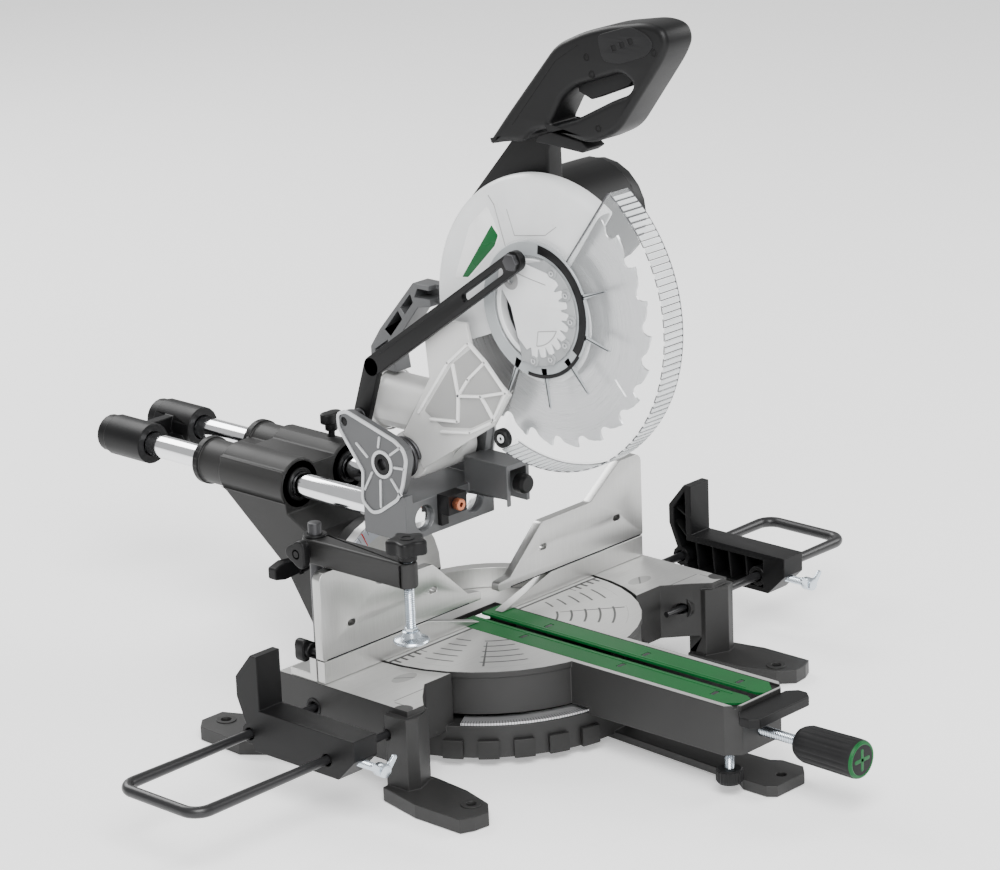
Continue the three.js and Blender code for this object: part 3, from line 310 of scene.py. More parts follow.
def turned_finish(name, color, roughness, metallic=1.0):
    """Ground or plated metal with a faint haze."""
    finish = Finish(name, color, roughness, metallic)
    return mottled(finish, color, roughness, (14, 3), (0.93, 1.04), 0.05, (2.5, 2), 0.006)


def table_marks(finish, x, y):
    """Grooves on the milled disc: dashed arcs, the chamfered diameter, and combs at its ends."""
    arc_pitch, arc_first, arc_last = 14, 60, 134
    dash_pitch, dash_half = 34, 11
    wedge_start, wedge_end, spoke_turn = 12, 72, 40
    comb_pitch, comb_start, comb_y = 9, 106, -10.5
    groove = 1.6
    radius = (x * x + y * y).root()
    side = abs(x)
    turn = (0 - y).bearing(side)
    rings = finish.stripe((radius - 58) % arc_pitch, arc_pitch / 2, 1.1)
    dashes = finish.stripe(turn % dash_pitch, 15, dash_half, 1) * finish.between(turn, wedge_start, wedge_end)
    arcs = rings * finish.between(radius, arc_first, arc_last) * dashes
    spoke = finish.stripe(turn, spoke_turn, 0.5, 0.3) * finish.between(radius, 68, 132)
    diameter = finish.stripe(y, -6, groove) * finish.rises(side, 34, 1)
    comb = finish.stripe((side - 92) % comb_pitch, comb_pitch / 2, groove) * finish.stripe(y, comb_y, 5.5)
    comb = comb * finish.rises(side, comb_start, 1)
    return arcs.math("MAXIMUM", (arcs + spoke).capped() * 0.95, (diameter + comb).capped())


def wing_marks(finish, x, y):
    """Milled wings: an oval recess with a screw's slot, and thin grooves along the edges."""
    screw_x, screw_y, pocket_x, pocket_y = 168, -46, 224, -100
    side = abs(x)
    dx = (side - screw_x) / 15
    dy = (y - screw_y) / 8
    oval = 1 - finish.rises(dx * dx + dy * dy, 1, 0.08)
    slot = finish.stripe(side - y, screw_x - screw_y, 1.3) * oval
    long_groove = finish.stripe(y, -80, 0.7) * finish.stripe(side, 194, 22, 1)
    cross_groove = finish.stripe(side, 218, 0.8) * finish.stripe(y, -92, 9, 1)
    px, py = side - pocket_x, y - pocket_y
    dark = 1 - finish.rises((px * px + py * py).root(), 9, 0.6)
    return (oval * 0.35 + slot * 0.4 + long_groove * 0.7 + cross_groove * 0.7 + dark).capped()


def milled_cast(name, marks):
    """A dark casting whose top face is milled bright, with its grooves left dark."""
    finish = Finish(name, DARK, 0.5, 0.3)
    x, y, z = finish.place()
    top = finish.rises(z, TABLE_TOP - 0.05, 0.05)
    strokes = finish.noise(0.8, 4, (26, 1, 1), 0.6)
    groove = marks(finish, x, y)
    milled = finish.mix(groove, finish.mix(strokes, shaded(PALE, 0.82), shaded(PALE, 1.15)),
                        (0.03, 0.03, 0.03))
    slow = finish.noise(60, 3)
    coat = finish.mix(slow, shaded(DARK, 0.82), shaded(DARK, 1.2))
    finish.put("Base Color", finish.mix(top, coat, milled))
    finish.put("Metallic", 0.3 + top * (1 - groove) * 0.55)
    finish.put("Roughness", 0.5 - top * (0.14 - 0.1 * strokes))
    grain = finish.bump(finish.noise(1.1, 3) * (1 - top), 0.05)
    finish.put("Normal", finish.bump(strokes * top * 0.2 - groove * top, 0.15, grain))
    return finish


def clear_finish():
    """Clear polycarbonate, with fine moulding waves."""
    finish = Finish("clear_guard", (0.9, 0.93, 0.94), 0.06)
    finish.put("Roughness", 0.05 + 0.06 * finish.noise(30, 2))
    finish.put("Alpha", 0.12)
    finish.put("Normal", finish.bump(finish.noise(25, 1), 0.05))
    return finish


def scale_finish():
    """A bright arc with engraved degree lines and one red mark."""
    finish = Finish("bevel_dial", (0.6, 0.62, 0.68), 0.35, 0.7)
    x, _, z = finish.place()
    z = z - TABLE_TOP
    turn = z.bearing(x)
    radius = (x * x + z * z).root()
    lines = finish.stripe(turn % 5, 2.5, 0.25, 0.15) * finish.rises(radius, 68, 0.4)
    red = finish.stripe(turn, 118, 0.5, 0.2)
    plain = finish.mix(lines, (0.6, 0.62, 0.68), (0.05, 0.05, 0.05))
    finish.put("Base Color", finish.mix(red, plain, (0.7, 0.03, 0.02)))
    finish.put("Roughness", 0.3 + 0.2 * finish.noise(3, 2))
    return finish


def ring_scale_finish():
    """The silver ring under the table's rim, engraved with a line at each degree."""
    finish = Finish("miter_dial", (0.6, 0.6, 0.61), 0.35, 0.8)
    x, y, _ = finish.place()
    turn = y.bearing(x)
    radius = (x * x + y * y).root()
    lines = finish.stripe(turn % 1, 0.5, 0.09, 0.08) * finish.rises(radius, 152, 0.4)
    finish.put("Base Color", finish.mix(lines, (0.6, 0.6, 0.61), (0.06, 0.06, 0.06)))
    finish.put("Roughness", 0.32 + 0.16 * finish.noise(4, 2))
    return finish


def blade_finish():
    """Ground blade: strokes run round the arbor, so the noise reads the radius and hardly the angle."""
    finish = Finish("blade_face", (0.62, 0.62, 0.63), 0.3, 1.0)
    _, y, z = finish.place()
    y, z = y - BLADE_Y, z - BLADE_Z
    radius = (y * y + z * z).root()
    turn = z.math("ARCTAN2", z, y)
    where = finish.node("ShaderNodeCombineXYZ", {}, [radius * 0.9, turn * 1.5, 0.0])
    strokes = finish.node("ShaderNodeTexNoise", {}, {"Vector": where, "Scale": 1.0, "Detail": 4.0})
    finish.put("Base Color", finish.mix(strokes, (0.34, 0.34, 0.35), (0.72, 0.72, 0.73)))
    finish.put("Roughness", 0.2 + 0.2 * strokes)
    finish.put("Normal", finish.bump(strokes, 0.02))
    return finish


# ---- Shapes ----

POINTED = 1e-4  # the radius, in millimetres, of an end that closes to a point


def along(axis, outline, height):
    """Points of an outline at a height along an axis: (y, z) along x, (x, z) along y, (x, y) along z."""
    a, b = outline[..., 0], outline[..., 1]
    h = np.broadcast_to(height, a.shape)
    order = {"x": (h, a, b), "y": (a, h, b), "z": (a, b, h)}[axis]
    return np.stack(order, -1)


def quads(rows, columns, wrap_rows=False, wrap_columns=False):
    """The faces of a grid of points, closed on itself where asked."""
    i, j = np.meshgrid(np.arange(rows if wrap_rows else rows - 1),
                       np.arange(columns if wrap_columns else columns - 1), indexing="ij")
    below, across = (i + 1) % rows, (j + 1) % columns
    ring = [i * columns + j, i * columns + across, below * columns + across, below * columns + j]
    return np.stack(ring, -1).reshape(-1, 4).tolist()


def circle(a, b, radius, steps=48):
    turn = np.linspace(0, 2 * np.pi, steps, endpoint=False)
    return np.stack([a + radius * np.cos(turn), b + radius * np.sin(turn)], -1)


def arc(a, b, radius, start, end, steps=24):
    turn = np.radians(np.linspace(start, end, steps))
    return np.stack([a + radius * np.cos(turn), b + radius * np.sin(turn)], -1)


def band(a, b, inner, outer, start, end, steps=40):
    """A ring's outline from one angle to another."""
    return np.vstack([arc(a, b, outer, start, end, steps), arc(a, b, inner, end, start, steps)])


def rounded(points, radius, steps=6):
    """A closed outline whose corners are curves that start and end up to radius from the corner."""
    p = np.array(points, float)
    before = np.roll(p, 1, 0) - p
    after = np.roll(p, -1, 0) - p
    length_before = np.linalg.norm(before, axis=1, keepdims=True)
    length_after = np.linalg.norm(after, axis=1, keepdims=True)
    first = p + before / length_before * np.minimum(radius, 0.45 * length_before)
    last = p + after / length_after * np.minimum(radius, 0.45 * length_after)
    t = np.linspace(0, 1, steps)[None, :, None]
    curve = (1 - t) ** 2 * first[:, None] + 2 * t * (1 - t) * p[:, None] + t ** 2 * last[:, None]
    return curve.reshape(-1, 2)


def area(outline):
    a, b = outline[:, 0], outline[:, 1]
    return 0.5 * np.sum(a * np.roll(b, -1) - b * np.roll(a, -1))


def inset(outline, distance):
    """The outline moved to its left by a distance, along the mean of its two edges' normals."""
    edge = np.roll(outline, -1, 0) - outline
    edge = edge / np.maximum(np.linalg.norm(edge, axis=1, keepdims=True), 1e-9)
    normal = np.stack([-edge[:, 1], edge[:, 0]], -1)
    mean = normal + np.roll(normal, 1, 0)
    mean = mean / np.maximum((mean ** 2).sum(1, keepdims=True) / 2, 0.6)
    return outline + mean * distance


def plate(axis, outline, low, high, edge=0.8, holes=(), steps=3):
    """A plate along an axis. Its rim is a quarter round at each face: at angle t the rim is moved in by
    edge * (1 - sin t) and stands edge * (1 - cos t) off the face."""
    loops = [np.array(outline, float)] + [np.array(hole, float) for hole in holes]
    loops = [loop if (area(loop) > 0) == (k == 0) else loop[::-1] for k, loop in enumerate(loops)]
    t = np.radians(np.linspace(0, 90, steps + 1))
    moved = np.concatenate([edge * (1 - np.sin(t)), edge * (1 - np.sin(t))[::-1]])
    height = np.concatenate([low + edge * (1 - np.cos(t)), high - edge * (1 - np.cos(t))[::-1]])
    points, faces, ends, count = [], [], [[], []], 0
    for loop in loops:
        rings = [along(axis, inset(loop, d), h) for d, h in zip(moved, height)]
        points.append(np.concatenate(rings))
        size = len(loop)
        faces += [[v + count for v in face] for face in quads(len(moved), size, wrap_columns=True)]
        ends[0].append((inset(loop, moved[0]), count))
        ends[1].append((inset(loop, moved[-1]), count + (len(moved) - 1) * size))
        count += len(moved) * size
    for end in ends:
        index = np.concatenate([start + np.arange(len(loop)) for loop, start in end])
        flat = tessellate_polygon([[Vector((*point, 0)) for point in loop] for loop, _ in end])
        faces += [[int(index[i]) for i in triangle] for triangle in flat]
    return np.concatenate(points), faces


def turned(axis, centre, profile, sides=56, base=0.0):
    """A profile of (radius, height) points turned about an axis through the centre's two coordinates."""
    ring = circle(0, 0, 1, sides)
    rows = [along(axis, np.array(centre) + ring * max(radius, POINTED), base + height)
            for radius, height in profile]
    return np.concatenate(rows), quads(len(profile), sides, wrap_columns=True)


def ring_profile(inner, outer, low, high, edge=0.6):
    """The section of a tube's wall with its corners cut, as a closed profile."""
    return [(inner, low + edge), (inner + edge, low), (outer - edge, low), (outer, low + edge),
            (outer, high - edge), (outer - edge, high), (inner + edge, high), (inner, high - edge),
            (inner, low + edge)]


def solid_profile(radius, low, high, edge=0.8):
    return [(0, low), (radius - edge, low), (radius - 0.3 * edge, low + 0.3 * edge), (radius, low + edge),
            (radius, high - edge), (radius - 0.3 * edge, high - 0.3 * edge), (radius - edge, high), (0, high)]


def thread(axis, centre, radius, low, high, pitch=1.75, depth=0.7, sides=28):
    """A screw: the radius falls by depth in a sawtooth of height / pitch less the turn's share."""
    rows = int((high - low) / pitch * 6) + 1
    h, turn = np.meshgrid(np.linspace(low, high, rows), np.linspace(0, 1, sides, endpoint=False),
                          indexing="ij")
    wave = np.abs(((h / pitch - turn) % 1) - 0.5) * 2
    reach = radius - depth * wave
    reach[0] = reach[-1] = POINTED
    ring = np.stack([np.cos(2 * np.pi * turn), np.sin(2 * np.pi * turn)], -1) * reach[..., None]
    return along(axis, ring + np.array(centre), h).reshape(-1, 3), quads(rows, sides, wrap_columns=True)


def swept(route, ups, radius, sides=20):
    """A round bar along a route: a circle across each point, in the plane of its up and its side."""
    route, ups = np.array(route, float), np.array(ups, float)
    ahead = np.gradient(route, axis=0)
    ahead /= np.linalg.norm(ahead, axis=1, keepdims=True)
    ups = ups - (ups * ahead).sum(1, keepdims=True) * ahead
    ups /= np.linalg.norm(ups, axis=1, keepdims=True)
    across = np.cross(ahead, ups)
    turn = np.linspace(0, 2 * np.pi, sides, endpoint=False)[None, :, None]
    reach = np.full(len(route), float(radius))
    reach[0] = reach[-1] = radius * 0.55
    route = np.vstack([route[:1], route, route[-1:]])
    ups, across = [np.vstack([v[:1], v, v[-1:]]) for v in (ups, across)]
    reach = np.concatenate([[POINTED], reach, [POINTED]])[:, None, None]
    points = route[:, None] + reach * (np.cos(turn) * ups[:, None] + np.sin(turn) * across[:, None])
    return points.reshape(-1, 3), quads(len(route), sides, wrap_columns=True)


def lobed(a, b, radius, lobes, depth, power=1.0, steps=120):
    """A knob's outline: the radius falls by depth between the lobes, as a raised cosine of the turn."""
    turn = np.linspace(0, 2 * np.pi, steps, endpoint=False)
    reach = radius - depth * (0.5 - 0.5 * np.cos(lobes * turn)) ** power
    return np.stack([a + reach * np.cos(turn), b + reach * np.sin(turn)], -1)


def merged(*shapes):
    """Several shapes as one list of points and faces."""
    points, faces, count = [], [], 0
    for shape_points, shape_faces in shapes:
        points.append(shape_points)
        faces += [[v + count for v in face] for face in shape_faces]
        count += len(shape_points)
    return np.concatenate(points), faces


# ---- Pieces ----

def close_up(mesh, flat_angle=None):
    """Merges doubled points, joins faces that lie in one plane if asked, and points every face out."""
    work = bmesh.new()
    work.from_mesh(mesh)
    bmesh.ops.remove_doubles(work, verts=work.verts, dist=2e-6)
    if flat_angle:
        bmesh.ops.dissolve_limit(work, angle_limit=flat_angle, verts=work.verts, edges=work.edges)
    bmesh.ops.recalc_face_normals(work, faces=work.faces)
    work.to_mesh(mesh)
    work.free()


def add_mesh(name, mesh, finish, host, stands_for, sharp):
    """Shades a mesh, and makes it a piece that rides on the host's body and may stand for the host."""
    mesh.shade_smooth()
    mesh.set_sharp_from_angle(angle=math.radians(sharp))
    mesh.materials.append(finish.material)
    piece = bpy.data.objects.new(name, mesh)
    bpy.context.collection.objects.link(piece)
    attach(piece, BODY_OF[host])
    if stands_for:
        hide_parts(host)
    return piece


def add_piece(name, shape, finish, host, stands_for, sharp):
    """Makes a piece from points in millimetres and faces."""
    points, faces = shape
    mesh = bpy.data.meshes.new(name)
    mesh.from_pydata((points * MM).tolist(), [], faces)
    close_up(mesh)
    add_mesh(name, mesh, finish, host, stands_for, sharp)


def stand_in(node, shape, finish, sharp=32):
    """A finer piece in a CAD node's place."""
    add_piece(node + "_fine", shape, finish, node, True, sharp)


def extra(name, host, shape, finish):
    """A small piece added to the body that a CAD node belongs to."""
    add_piece(name, shape, finish, host, False, 32)


def eased(node, finish, width=0.6, sharp=30):
    """The CAD node's own shape with its edges rounded off by width millimetres."""
    mesh = frame["nodes"][node].data.copy()
    mesh.name = node + "_eased"
    close_up(mesh, math.radians(0.5))
    mesh.materials.clear()
    piece = add_mesh(mesh.name, mesh, finish, node, True, sharp)
    bevel = piece.modifiers.new("edges", "BEVEL")
    bevel.width = width * MM
    bevel.segments = 2
    bevel.limit_method = "ANGLE"
    bevel.angle_limit = math.radians(sharp)
    bevel.use_clamp_overlap = False
    bevel.harden_normals = True


def capsule(a0, b0, a1, b1, radius, steps=10):
    """A bar's outline with round ends."""
    turn = math.degrees(math.atan2(b1 - b0, a1 - a0))
    return np.vstack([arc(a1, b1, radius, turn - 90, turn + 90, steps),
                      arc(a0, b0, radius, turn + 90, turn + 270, steps)])


def swung(profile, centre, start, end, steps=64):
    """A closed profile of (radius, x) carried round an axis along x from one angle to another:
    y = centre y + r cos t and z = centre z + r sin t, with a flat face over each end."""
    profile = np.array(profile, float)
    turn = np.radians(np.linspace(start, end, steps))[:, None]
    radius, across = profile[:, 0][None, :], np.broadcast_to(profile[:, 1], (steps, len(profile)))
    points = np.stack([across, centre[0] + radius * np.cos(turn), centre[1] + radius * np.sin(turn)], -1)
    faces = quads(steps, len(profile), wrap_columns=True)
    flat = tessellate_polygon([[Vector((*point, 0)) for point in profile]])
    last = (steps - 1) * len(profile)
    faces += [list(triangle) for triangle in flat]
    faces += [[v + last for v in triangle] for triangle in flat]
    return points.reshape(-1, 3), faces


def rib(axis, start, end, width, low, high):
    """A narrow bar with round ends that stands on a face."""
    return plate(axis, capsule(*start, *end, width / 2, 6), low, high, 0.35, steps=2)


def ribs(axis, points, width, low, high):
    """A rib over each stretch of a line of points."""
    return [rib(axis, start, end, width, low, high) for start, end in zip(points, points[1:])]


def polar(radius, angle, a=BLADE_Y, b=BLADE_Z):
    turn = math.radians(angle)
    return a + radius * math.cos(turn), b + radius * math.sin(turn)


def hub_spot(radius, angle):
    """A point round the lower guard's centre."""
    return polar(radius, angle, BLADE_Y, GUARD_Z)


def hub_band(inner, outer, start, end, rows, low, high, edge, steps=1):
    """A thin band round the lower guard's centre."""
    return plate("x", band(BLADE_Y, GUARD_Z, inner, outer, start, end, rows), low, high, edge, steps=steps)


def screw_head(axis, centre, radius, face, height):
    """A button head with a hexagon socket, on a face that looks down the axis."""
    a, b = centre
    socket = circle(a, b, radius * 0.45, 6)
    low, high = sorted((face, face + height))
    return plate(axis, circle(a, b, radius, 20), low, high, min(0.5, abs(height) / 3), [socket], 2)


# ---- This saw's finishes ----

dark_cast = cast_finish("dark_coat", DARK, 0.5, 0.3)
gray_cast = cast_finish("gray_coat", GRAY, 0.42, 0.45)
# A far lighter copy of the gray casting: painted highlight on the ear's ribs.
highlight_rib_coat = cast_finish("painted_highlight_rib", (0.55, 0.56, 0.57), 0.38, 0.5, 0.02)
pale_cast = cast_finish("pale_coat", PALE, 0.42, 0.2)
# A lighter copy of the pale casting: painted highlight on ribs and lips.
pale_painted_highlight = cast_finish("pale_painted_highlight", (0.84, 0.84, 0.83), 0.36, 0.2, 0.02)
guard_coat = cast_finish("guard_coat", WHITE, 0.3, 0.0, 0.015)
black_plastic = plastic_finish("black_moulding", BLACK, 0.45)
grip_rubber = plastic_finish("grip_rubber", (0.009, 0.009, 0.0095), 0.62, 0.07)
green_plastic = plastic_finish("green_moulding", GREEN, 0.4)
kerf_green = plastic_finish("kerf_green", (0.001, 0.08, 0.016), 0.4)
deep_black = plastic_finish("deep_black", (0.004, 0.004, 0.004), 0.8)
chrome = turned_finish("chrome", (0.88, 0.89, 0.91), 0.07)
bright_steel = turned_finish("bright_steel", (0.58, 0.59, 0.6), 0.27)
dark_steel = turned_finish("dark_steel", (0.06, 0.06, 0.063), 0.4, 0.8)
zinc_plate = turned_finish("zinc_plate", (0.6, 0.66, 0.72), 0.24)
copper_plate = turned_finish("copper_plate", (0.55, 0.2, 0.11), 0.35)
loop_paint = turned_finish("loop_paint", (0.016, 0.016, 0.017), 0.33, 0.2)
fence_metal = brushed_finish("fence_face", (0.52, 0.52, 0.51), 0.36, (1, 1, 26))
table_metal = milled_cast("table_top", table_marks)
wing_metal = milled_cast("wing_top", wing_marks)
clear_guard = clear_finish()
bevel_dial = scale_finish()
miter_dial = ring_scale_finish()
blade_face = blade_finish()
label_white = plastic_finish("label_white", (0.8, 0.8, 0.8), 0.28, 0.01)
label_green = plastic_finish("label_green", (0.001, 0.085, 0.02), 0.28, 0.01)
rim_white = plastic_finish("rim_white", (0.62, 0.64, 0.65), 0.15, 0.01)
# Dark gray lines: painted shade between the lower guard's rim ribs and along its edges.
rim_painted_shade = plastic_finish("rim_painted_shade", (0.05, 0.05, 0.055), 0.2, 0.01)
# Gray lines: painted shade along creases and the edges of raised mouldings.
crease_painted_shade = plastic_finish("crease_painted_shade", (0.3, 0.3, 0.3), 0.4, 0.01)
# A darker copy of the pale casting: painted shade in the cheek's pockets.
pocket_painted_shade = cast_finish("pocket_shade", (0.36, 0.36, 0.355), 0.5, 0.2)
# Gray for the hub plate's lower disc: painted shade under the raised toothed plate.
hub_painted_shade = plastic_finish("hub_painted_shade", (0.3, 0.31, 0.315), 0.3, 0.01)
smoke_plastic = plastic_finish("smoke_plastic", (0.34, 0.36, 0.37), 0.15, 0.01)


# ---- Base, fences and loops ----

def add_base():
    eased("base_casting", wing_metal, 0.8)
    eased("miter_scale", miter_dial, 0.3)
    treads = [plate("z", band(0, 0, 161, 165, angle, angle + 7, 6), 8.4, 27, 0.8)
              for angle in range(206, 334, 12) if not 262 < angle < 274]
    extra("base_ring_ribs", "base_casting", merged(*treads), dark_cast)
    for side, word in SIDES:
        washers = [turned("z", (side * (TABLE_RIGHT - inward), y), ring_profile(5.1, 10, 13.4, 15, 0.4))
                   for inward, y in ((8, -178), (10, 152))]
        extra(f"foot_washers_{word}", "base_casting", merged(*washers), dark_cast)
        span = sorted((side * (TABLE_RIGHT - 1.5), side * (TABLE_RIGHT + 1)))
        bosses = [turned("x", (y, BAR_Z), ring_profile(6.2, 9.5, *span)) for y in BAR_YS]
        extra(f"bar_bosses_{word}", "base_casting", merged(*bosses), black_plastic)


def fence_outline(side):
    """The upper fence's face with its slope down to the blade and curves at its corners."""
    low, high = corners("upper_fence_right")
    outer, floor, top = high[0], low[2], high[2]
    points = [(12, floor), (outer, floor), (outer, top - 5), (outer - 5, top), (outer - 33, top),
              (outer - 78, top - 32), (77, top - 32.5), (30, floor + 10.6), (13, floor + 8.6)]
    return rounded([(side * a, b) for a, b in points], 3)


def add_fences():
    eased("fence_base", fence_metal, 0.5)
    for side, word in SIDES:
        node = f"upper_fence_{word}"
        low, high = corners(node)
        hole_z, seam_z = 141, 113.2
        holes = [capsule(side * (a - 2.2), hole_z, side * (a + 2.2), hole_z, 3.1)
                 for a in (78, TABLE_RIGHT - 40)]
        stand_in(node, plate("y", fence_outline(side), low[1], high[1], 0.5, holes), fence_metal)
        seam = plate("y", capsule(side * 30, seam_z, side * (TABLE_RIGHT - 6), seam_z, 0.5, 4),
                     low[1] - 0.25, low[1] + 0.5, 0.1, steps=1)
        extra(f"fence_seam_{word}", node, seam, deep_black)
        add_lobed_knob(f"fence_knob_{word}", "y")
        add_lobed_knob(f"bar_lock_knob_{word}", "y")


def add_lobed_knob(node, axis):
    """A knob with three rounded lobes over a stepped collar, with its stud and a cap in its middle."""
    low, high = corners(node)
    k = "xyz".index(axis)
    flat = [i for i in range(3) if i != k]
    a, b = centre = pivot(node)[flat]
    radius = max(high[flat[0]] - a, high[flat[1]] - b)
    reach = high[k] - low[k]
    outward = -1 if axis == "x" else 1
    tip = high[k] if outward > 0 else low[k]
    head = min(12, reach * 0.45)

    def span(near, far):
        return sorted((tip - outward * near, tip - outward * far))

    grip = plate(axis, lobed(a, b, radius, 3, radius * 0.3, 0.8), *span(0, head), 1.8, steps=5)
    neck = turned(axis, centre, ring_profile(0.5, radius * 0.56, *span(head - 0.6, head + 4), 0.7))
    stud = turned(axis, centre, solid_profile(3.4, *span(head, reach), 0.5), 24)
    stand_in(node, merged(grip, neck, stud), black_plastic)
    cap = turned(axis, centre, ring_profile(radius * 0.2, radius * 0.34, *span(0, 0.9), 0.3), 28)
    extra(node + "_cap", node, cap, grip_rubber)


def add_loops():
    for side, word in SIDES:
        low, high = corners(f"extension_loop_{word}")
        inner, outer = sorted((low[0], high[0]), key=abs)
        radius = (high[2] - low[2]) / 2
        front, back, level = low[1] + radius, high[1] - radius, (low[2] + high[2]) / 2
        bend = 16
        start = outer - side * (radius + bend)
        bends = np.vstack([arc(0, front + bend, bend, -90, 0, 14), arc(0, back - bend, bend, 0, 90, 14)])
        bends[:, 0] = start + side * bends[:, 0]
        flat = np.vstack([[[inner, front]], bends, [[inner, back]]])
        route = np.column_stack([flat, np.full(len(flat), level)])
        ups = np.tile([0, 0, 1.0], (len(route), 1))
        stand_in(f"extension_loop_{word}", swept(route, ups, radius, 24), loop_paint, 50)
        add_stop(side, word)


def add_stop(side, word):
    node = f"stop_bracket_{word}"
    eased(node, black_plastic, 0.9)
    low, high = corners(node)
    if side > 0:
        lines = [((y, 53), (y + 3, 83)) for y in (-72, -50, -28, -6)]
        lines += [((7, 84), (24, 100)), ((8, 108), (24, 116))]
        bars = [rib("x", *line, 2.2, low[0] + 3, high[0] - 7) for line in lines]
        extra("stop_ribs", node, merged(*bars), black_plastic)
    screw = f"wing_screw_{word}"
    x, _, z = pivot(screw)
    near, far = corners(screw)
    shank = thread("y", (x, z), 4, near[1] + 10, far[1], 1.5, 0.6)
    collar = turned("y", (x, z), solid_profile(6.5, near[1], near[1] + 12, 1.2), 32)
    ear = rounded([(x, z - 4), (x + 7, z - 3), (x + 17, z + 9), (x + 13, z + 12), (x + 5, z + 5),
                   (x - 5, z + 5), (x - 13, z + 12), (x - 17, z + 9), (x - 7, z - 3)], 3)
    ears = plate("y", ear, near[1] + 2, near[1] + 5.5, 0.9)
    stand_in(screw, merged(shank, collar, ears), zinc_plate)


def add_clamp():
    x, y, _ = middle("clamp_post")
    foot, top = [corner[2] for corner in corners("clamp_post")]
    stand_in("clamp_post", merged(turned("z", (x, y), solid_profile(6.5, foot, top - 1, 0.8)),
                                  turned("z", (x, y), solid_profile(6.4, top - 2, top, 1))), dark_steel)
    eased("clamp_arm", dark_cast, 2.2, 40)
    arm_top = corners("clamp_arm")[1][2]
    lid = turned("z", (x, y), ring_profile(6.7, 11.4, arm_top - 0.4, arm_top + 2.2, 0.8))
    extra("clamp_arm_lid", "clamp_arm", lid, black_plastic)
    sx, sy, _ = middle("clamp_screw")
    foot, top = [corner[2] for corner in corners("clamp_screw")]
    pad = turned("z", (sx, sy), [(0, 0), (15, 0), (16.6, 0.8), (17, 2), (16, 3.2), (12, 4.4), (9.5, 6.2),
                                 (8.6, 8.5), (8, 10.6), (6.5, 11.4), (0, 11.4)], 64, foot)
    shank = thread("z", (sx, sy), 5, foot + 8, top - 12, 2, 0.7, 32)
    collar = turned("z", (sx, sy), solid_profile(6.6, foot + 11, foot + 15, 0.8), 6)
    stand_in("clamp_screw", merged(pad, shank, collar), zinc_plate)
    grip = plate("z", lobed(sx, sy, 20, 5, 5, 0.9), top - 14, top, 2.8, steps=6)
    skirt = turned("z", (sx, sy), solid_profile(9, top - 21, top - 12, 1), 40)
    dimple = turned("z", (sx, sy), ring_profile(4.5, 7, top - 0.2, top + 0.7, 0.3), 36)
    extra("clamp_screw_grip", "clamp_screw", merged(grip, skirt, dimple), black_plastic)
    add_lobed_knob("clamp_post_knob", "x")


# ---- Turntable ----

def add_turntable():
    eased("turntable_casting", table_metal, 0.8)
    for _, word in SIDES:
        eased(f"kerf_plate_{word}", kerf_green, 0.4)
    low, high = corners("kerf_plate_right")
    front, back, top = low[1] + 22, high[1] - 10, high[2]
    lines = [plate("z", rounded([(side * a, y) for a, y in
                                 ((8.4, front), (10.6, front), (10.6, back), (8.4, back))], 0.6),
                   top - 0.4, top + 0.35, 0.15) for side, _ in SIDES]
    extra("kerf_plate_lines", "kerf_plate_right", merged(*lines), green_plastic)
    screws = [plate("z", capsule(side * 18 - 2.6, y, side * 18 + 2.6, y, 2.2, 6), top - 1.6, top - 0.3, 0.3)
              for side, _ in SIDES for y in (-60, -185, -300)]
    extra("kerf_plate_screws", "turntable_casting", merged(*screws), dark_steel)
    eased("pivot_bolt", bright_steel, 0.6)
    eased("bevel_bolt", bright_steel, 0.6)
    eased("bevel_scale", bevel_dial, 0.2)
    eased("detent_lever", black_plastic, 1.4)
    add_miter_lock()
    add_levelling_foot()


def add_miter_lock():
    low, high = corners("miter_lock_grip")
    x, _, z = pivot("miter_lock")
    front, back = low[1], high[1]
    turn = np.linspace(0, 2 * np.pi, 144, endpoint=False)
    heights = np.array([0, 0.6, 3, 6, 14, 30, 48, 60, 66, 70, 72]) / 72 * (back - front) + front
    radii = np.array([14.0, 17.2, 18.2, 18.5, 18.5, 18.2, 18, 17.8, 16, 13.6, 6])
    flute = np.array([0, 0, 0, 0.3, 0.9, 0.9, 0.9, 0.5, 0.1, 0, 0])
    reach = radii[:, None] - flute[:, None] * (0.5 + 0.5 * np.cos(18 * turn)) ** 3
    ring = np.stack([x + reach * np.cos(turn), z + reach * np.sin(turn)], -1)
    ends = np.stack([np.full(len(turn), x), np.full(len(turn), z)], -1)[None]
    rows = np.concatenate([ends, ring, ends])
    level = np.concatenate([[front], heights, [back]])[:, None]
    shape = along("y", rows, level).reshape(-1, 3), quads(len(rows), len(turn), wrap_columns=True)
    stand_in("miter_lock_grip", shape, grip_rubber, 50)
    dish = turned("y", (x, z), [(0, 2.4), (12, 2.4), (13.5, 0.4), (15.4, -0.3), (16.9, 0.2), (17.7, 1.4),
                                (18.1, 3.4), (0, 3.4)], 72, front)
    cross = (capsule(x - 9, z, x + 9, z, 2, 8), capsule(x, z - 9, x, z + 9, 2, 8))
    cap = merged(dish, *[plate("y", bar, front - 0.2, front + 3, 0.5) for bar in cross])
    extra("miter_lock_end", "miter_lock_grip", cap, green_plastic)
    low, high = corners("miter_lock_rod")
    bar = thread("y", (x, z), 5, low[1], high[1], 2, 0.6)
    nut = plate("y", circle(x, z, 8, 6), ARM_FRONT - 14, ARM_FRONT - 9, 0.5)
    stand_in("miter_lock_rod", merged(bar, nut), zinc_plate)


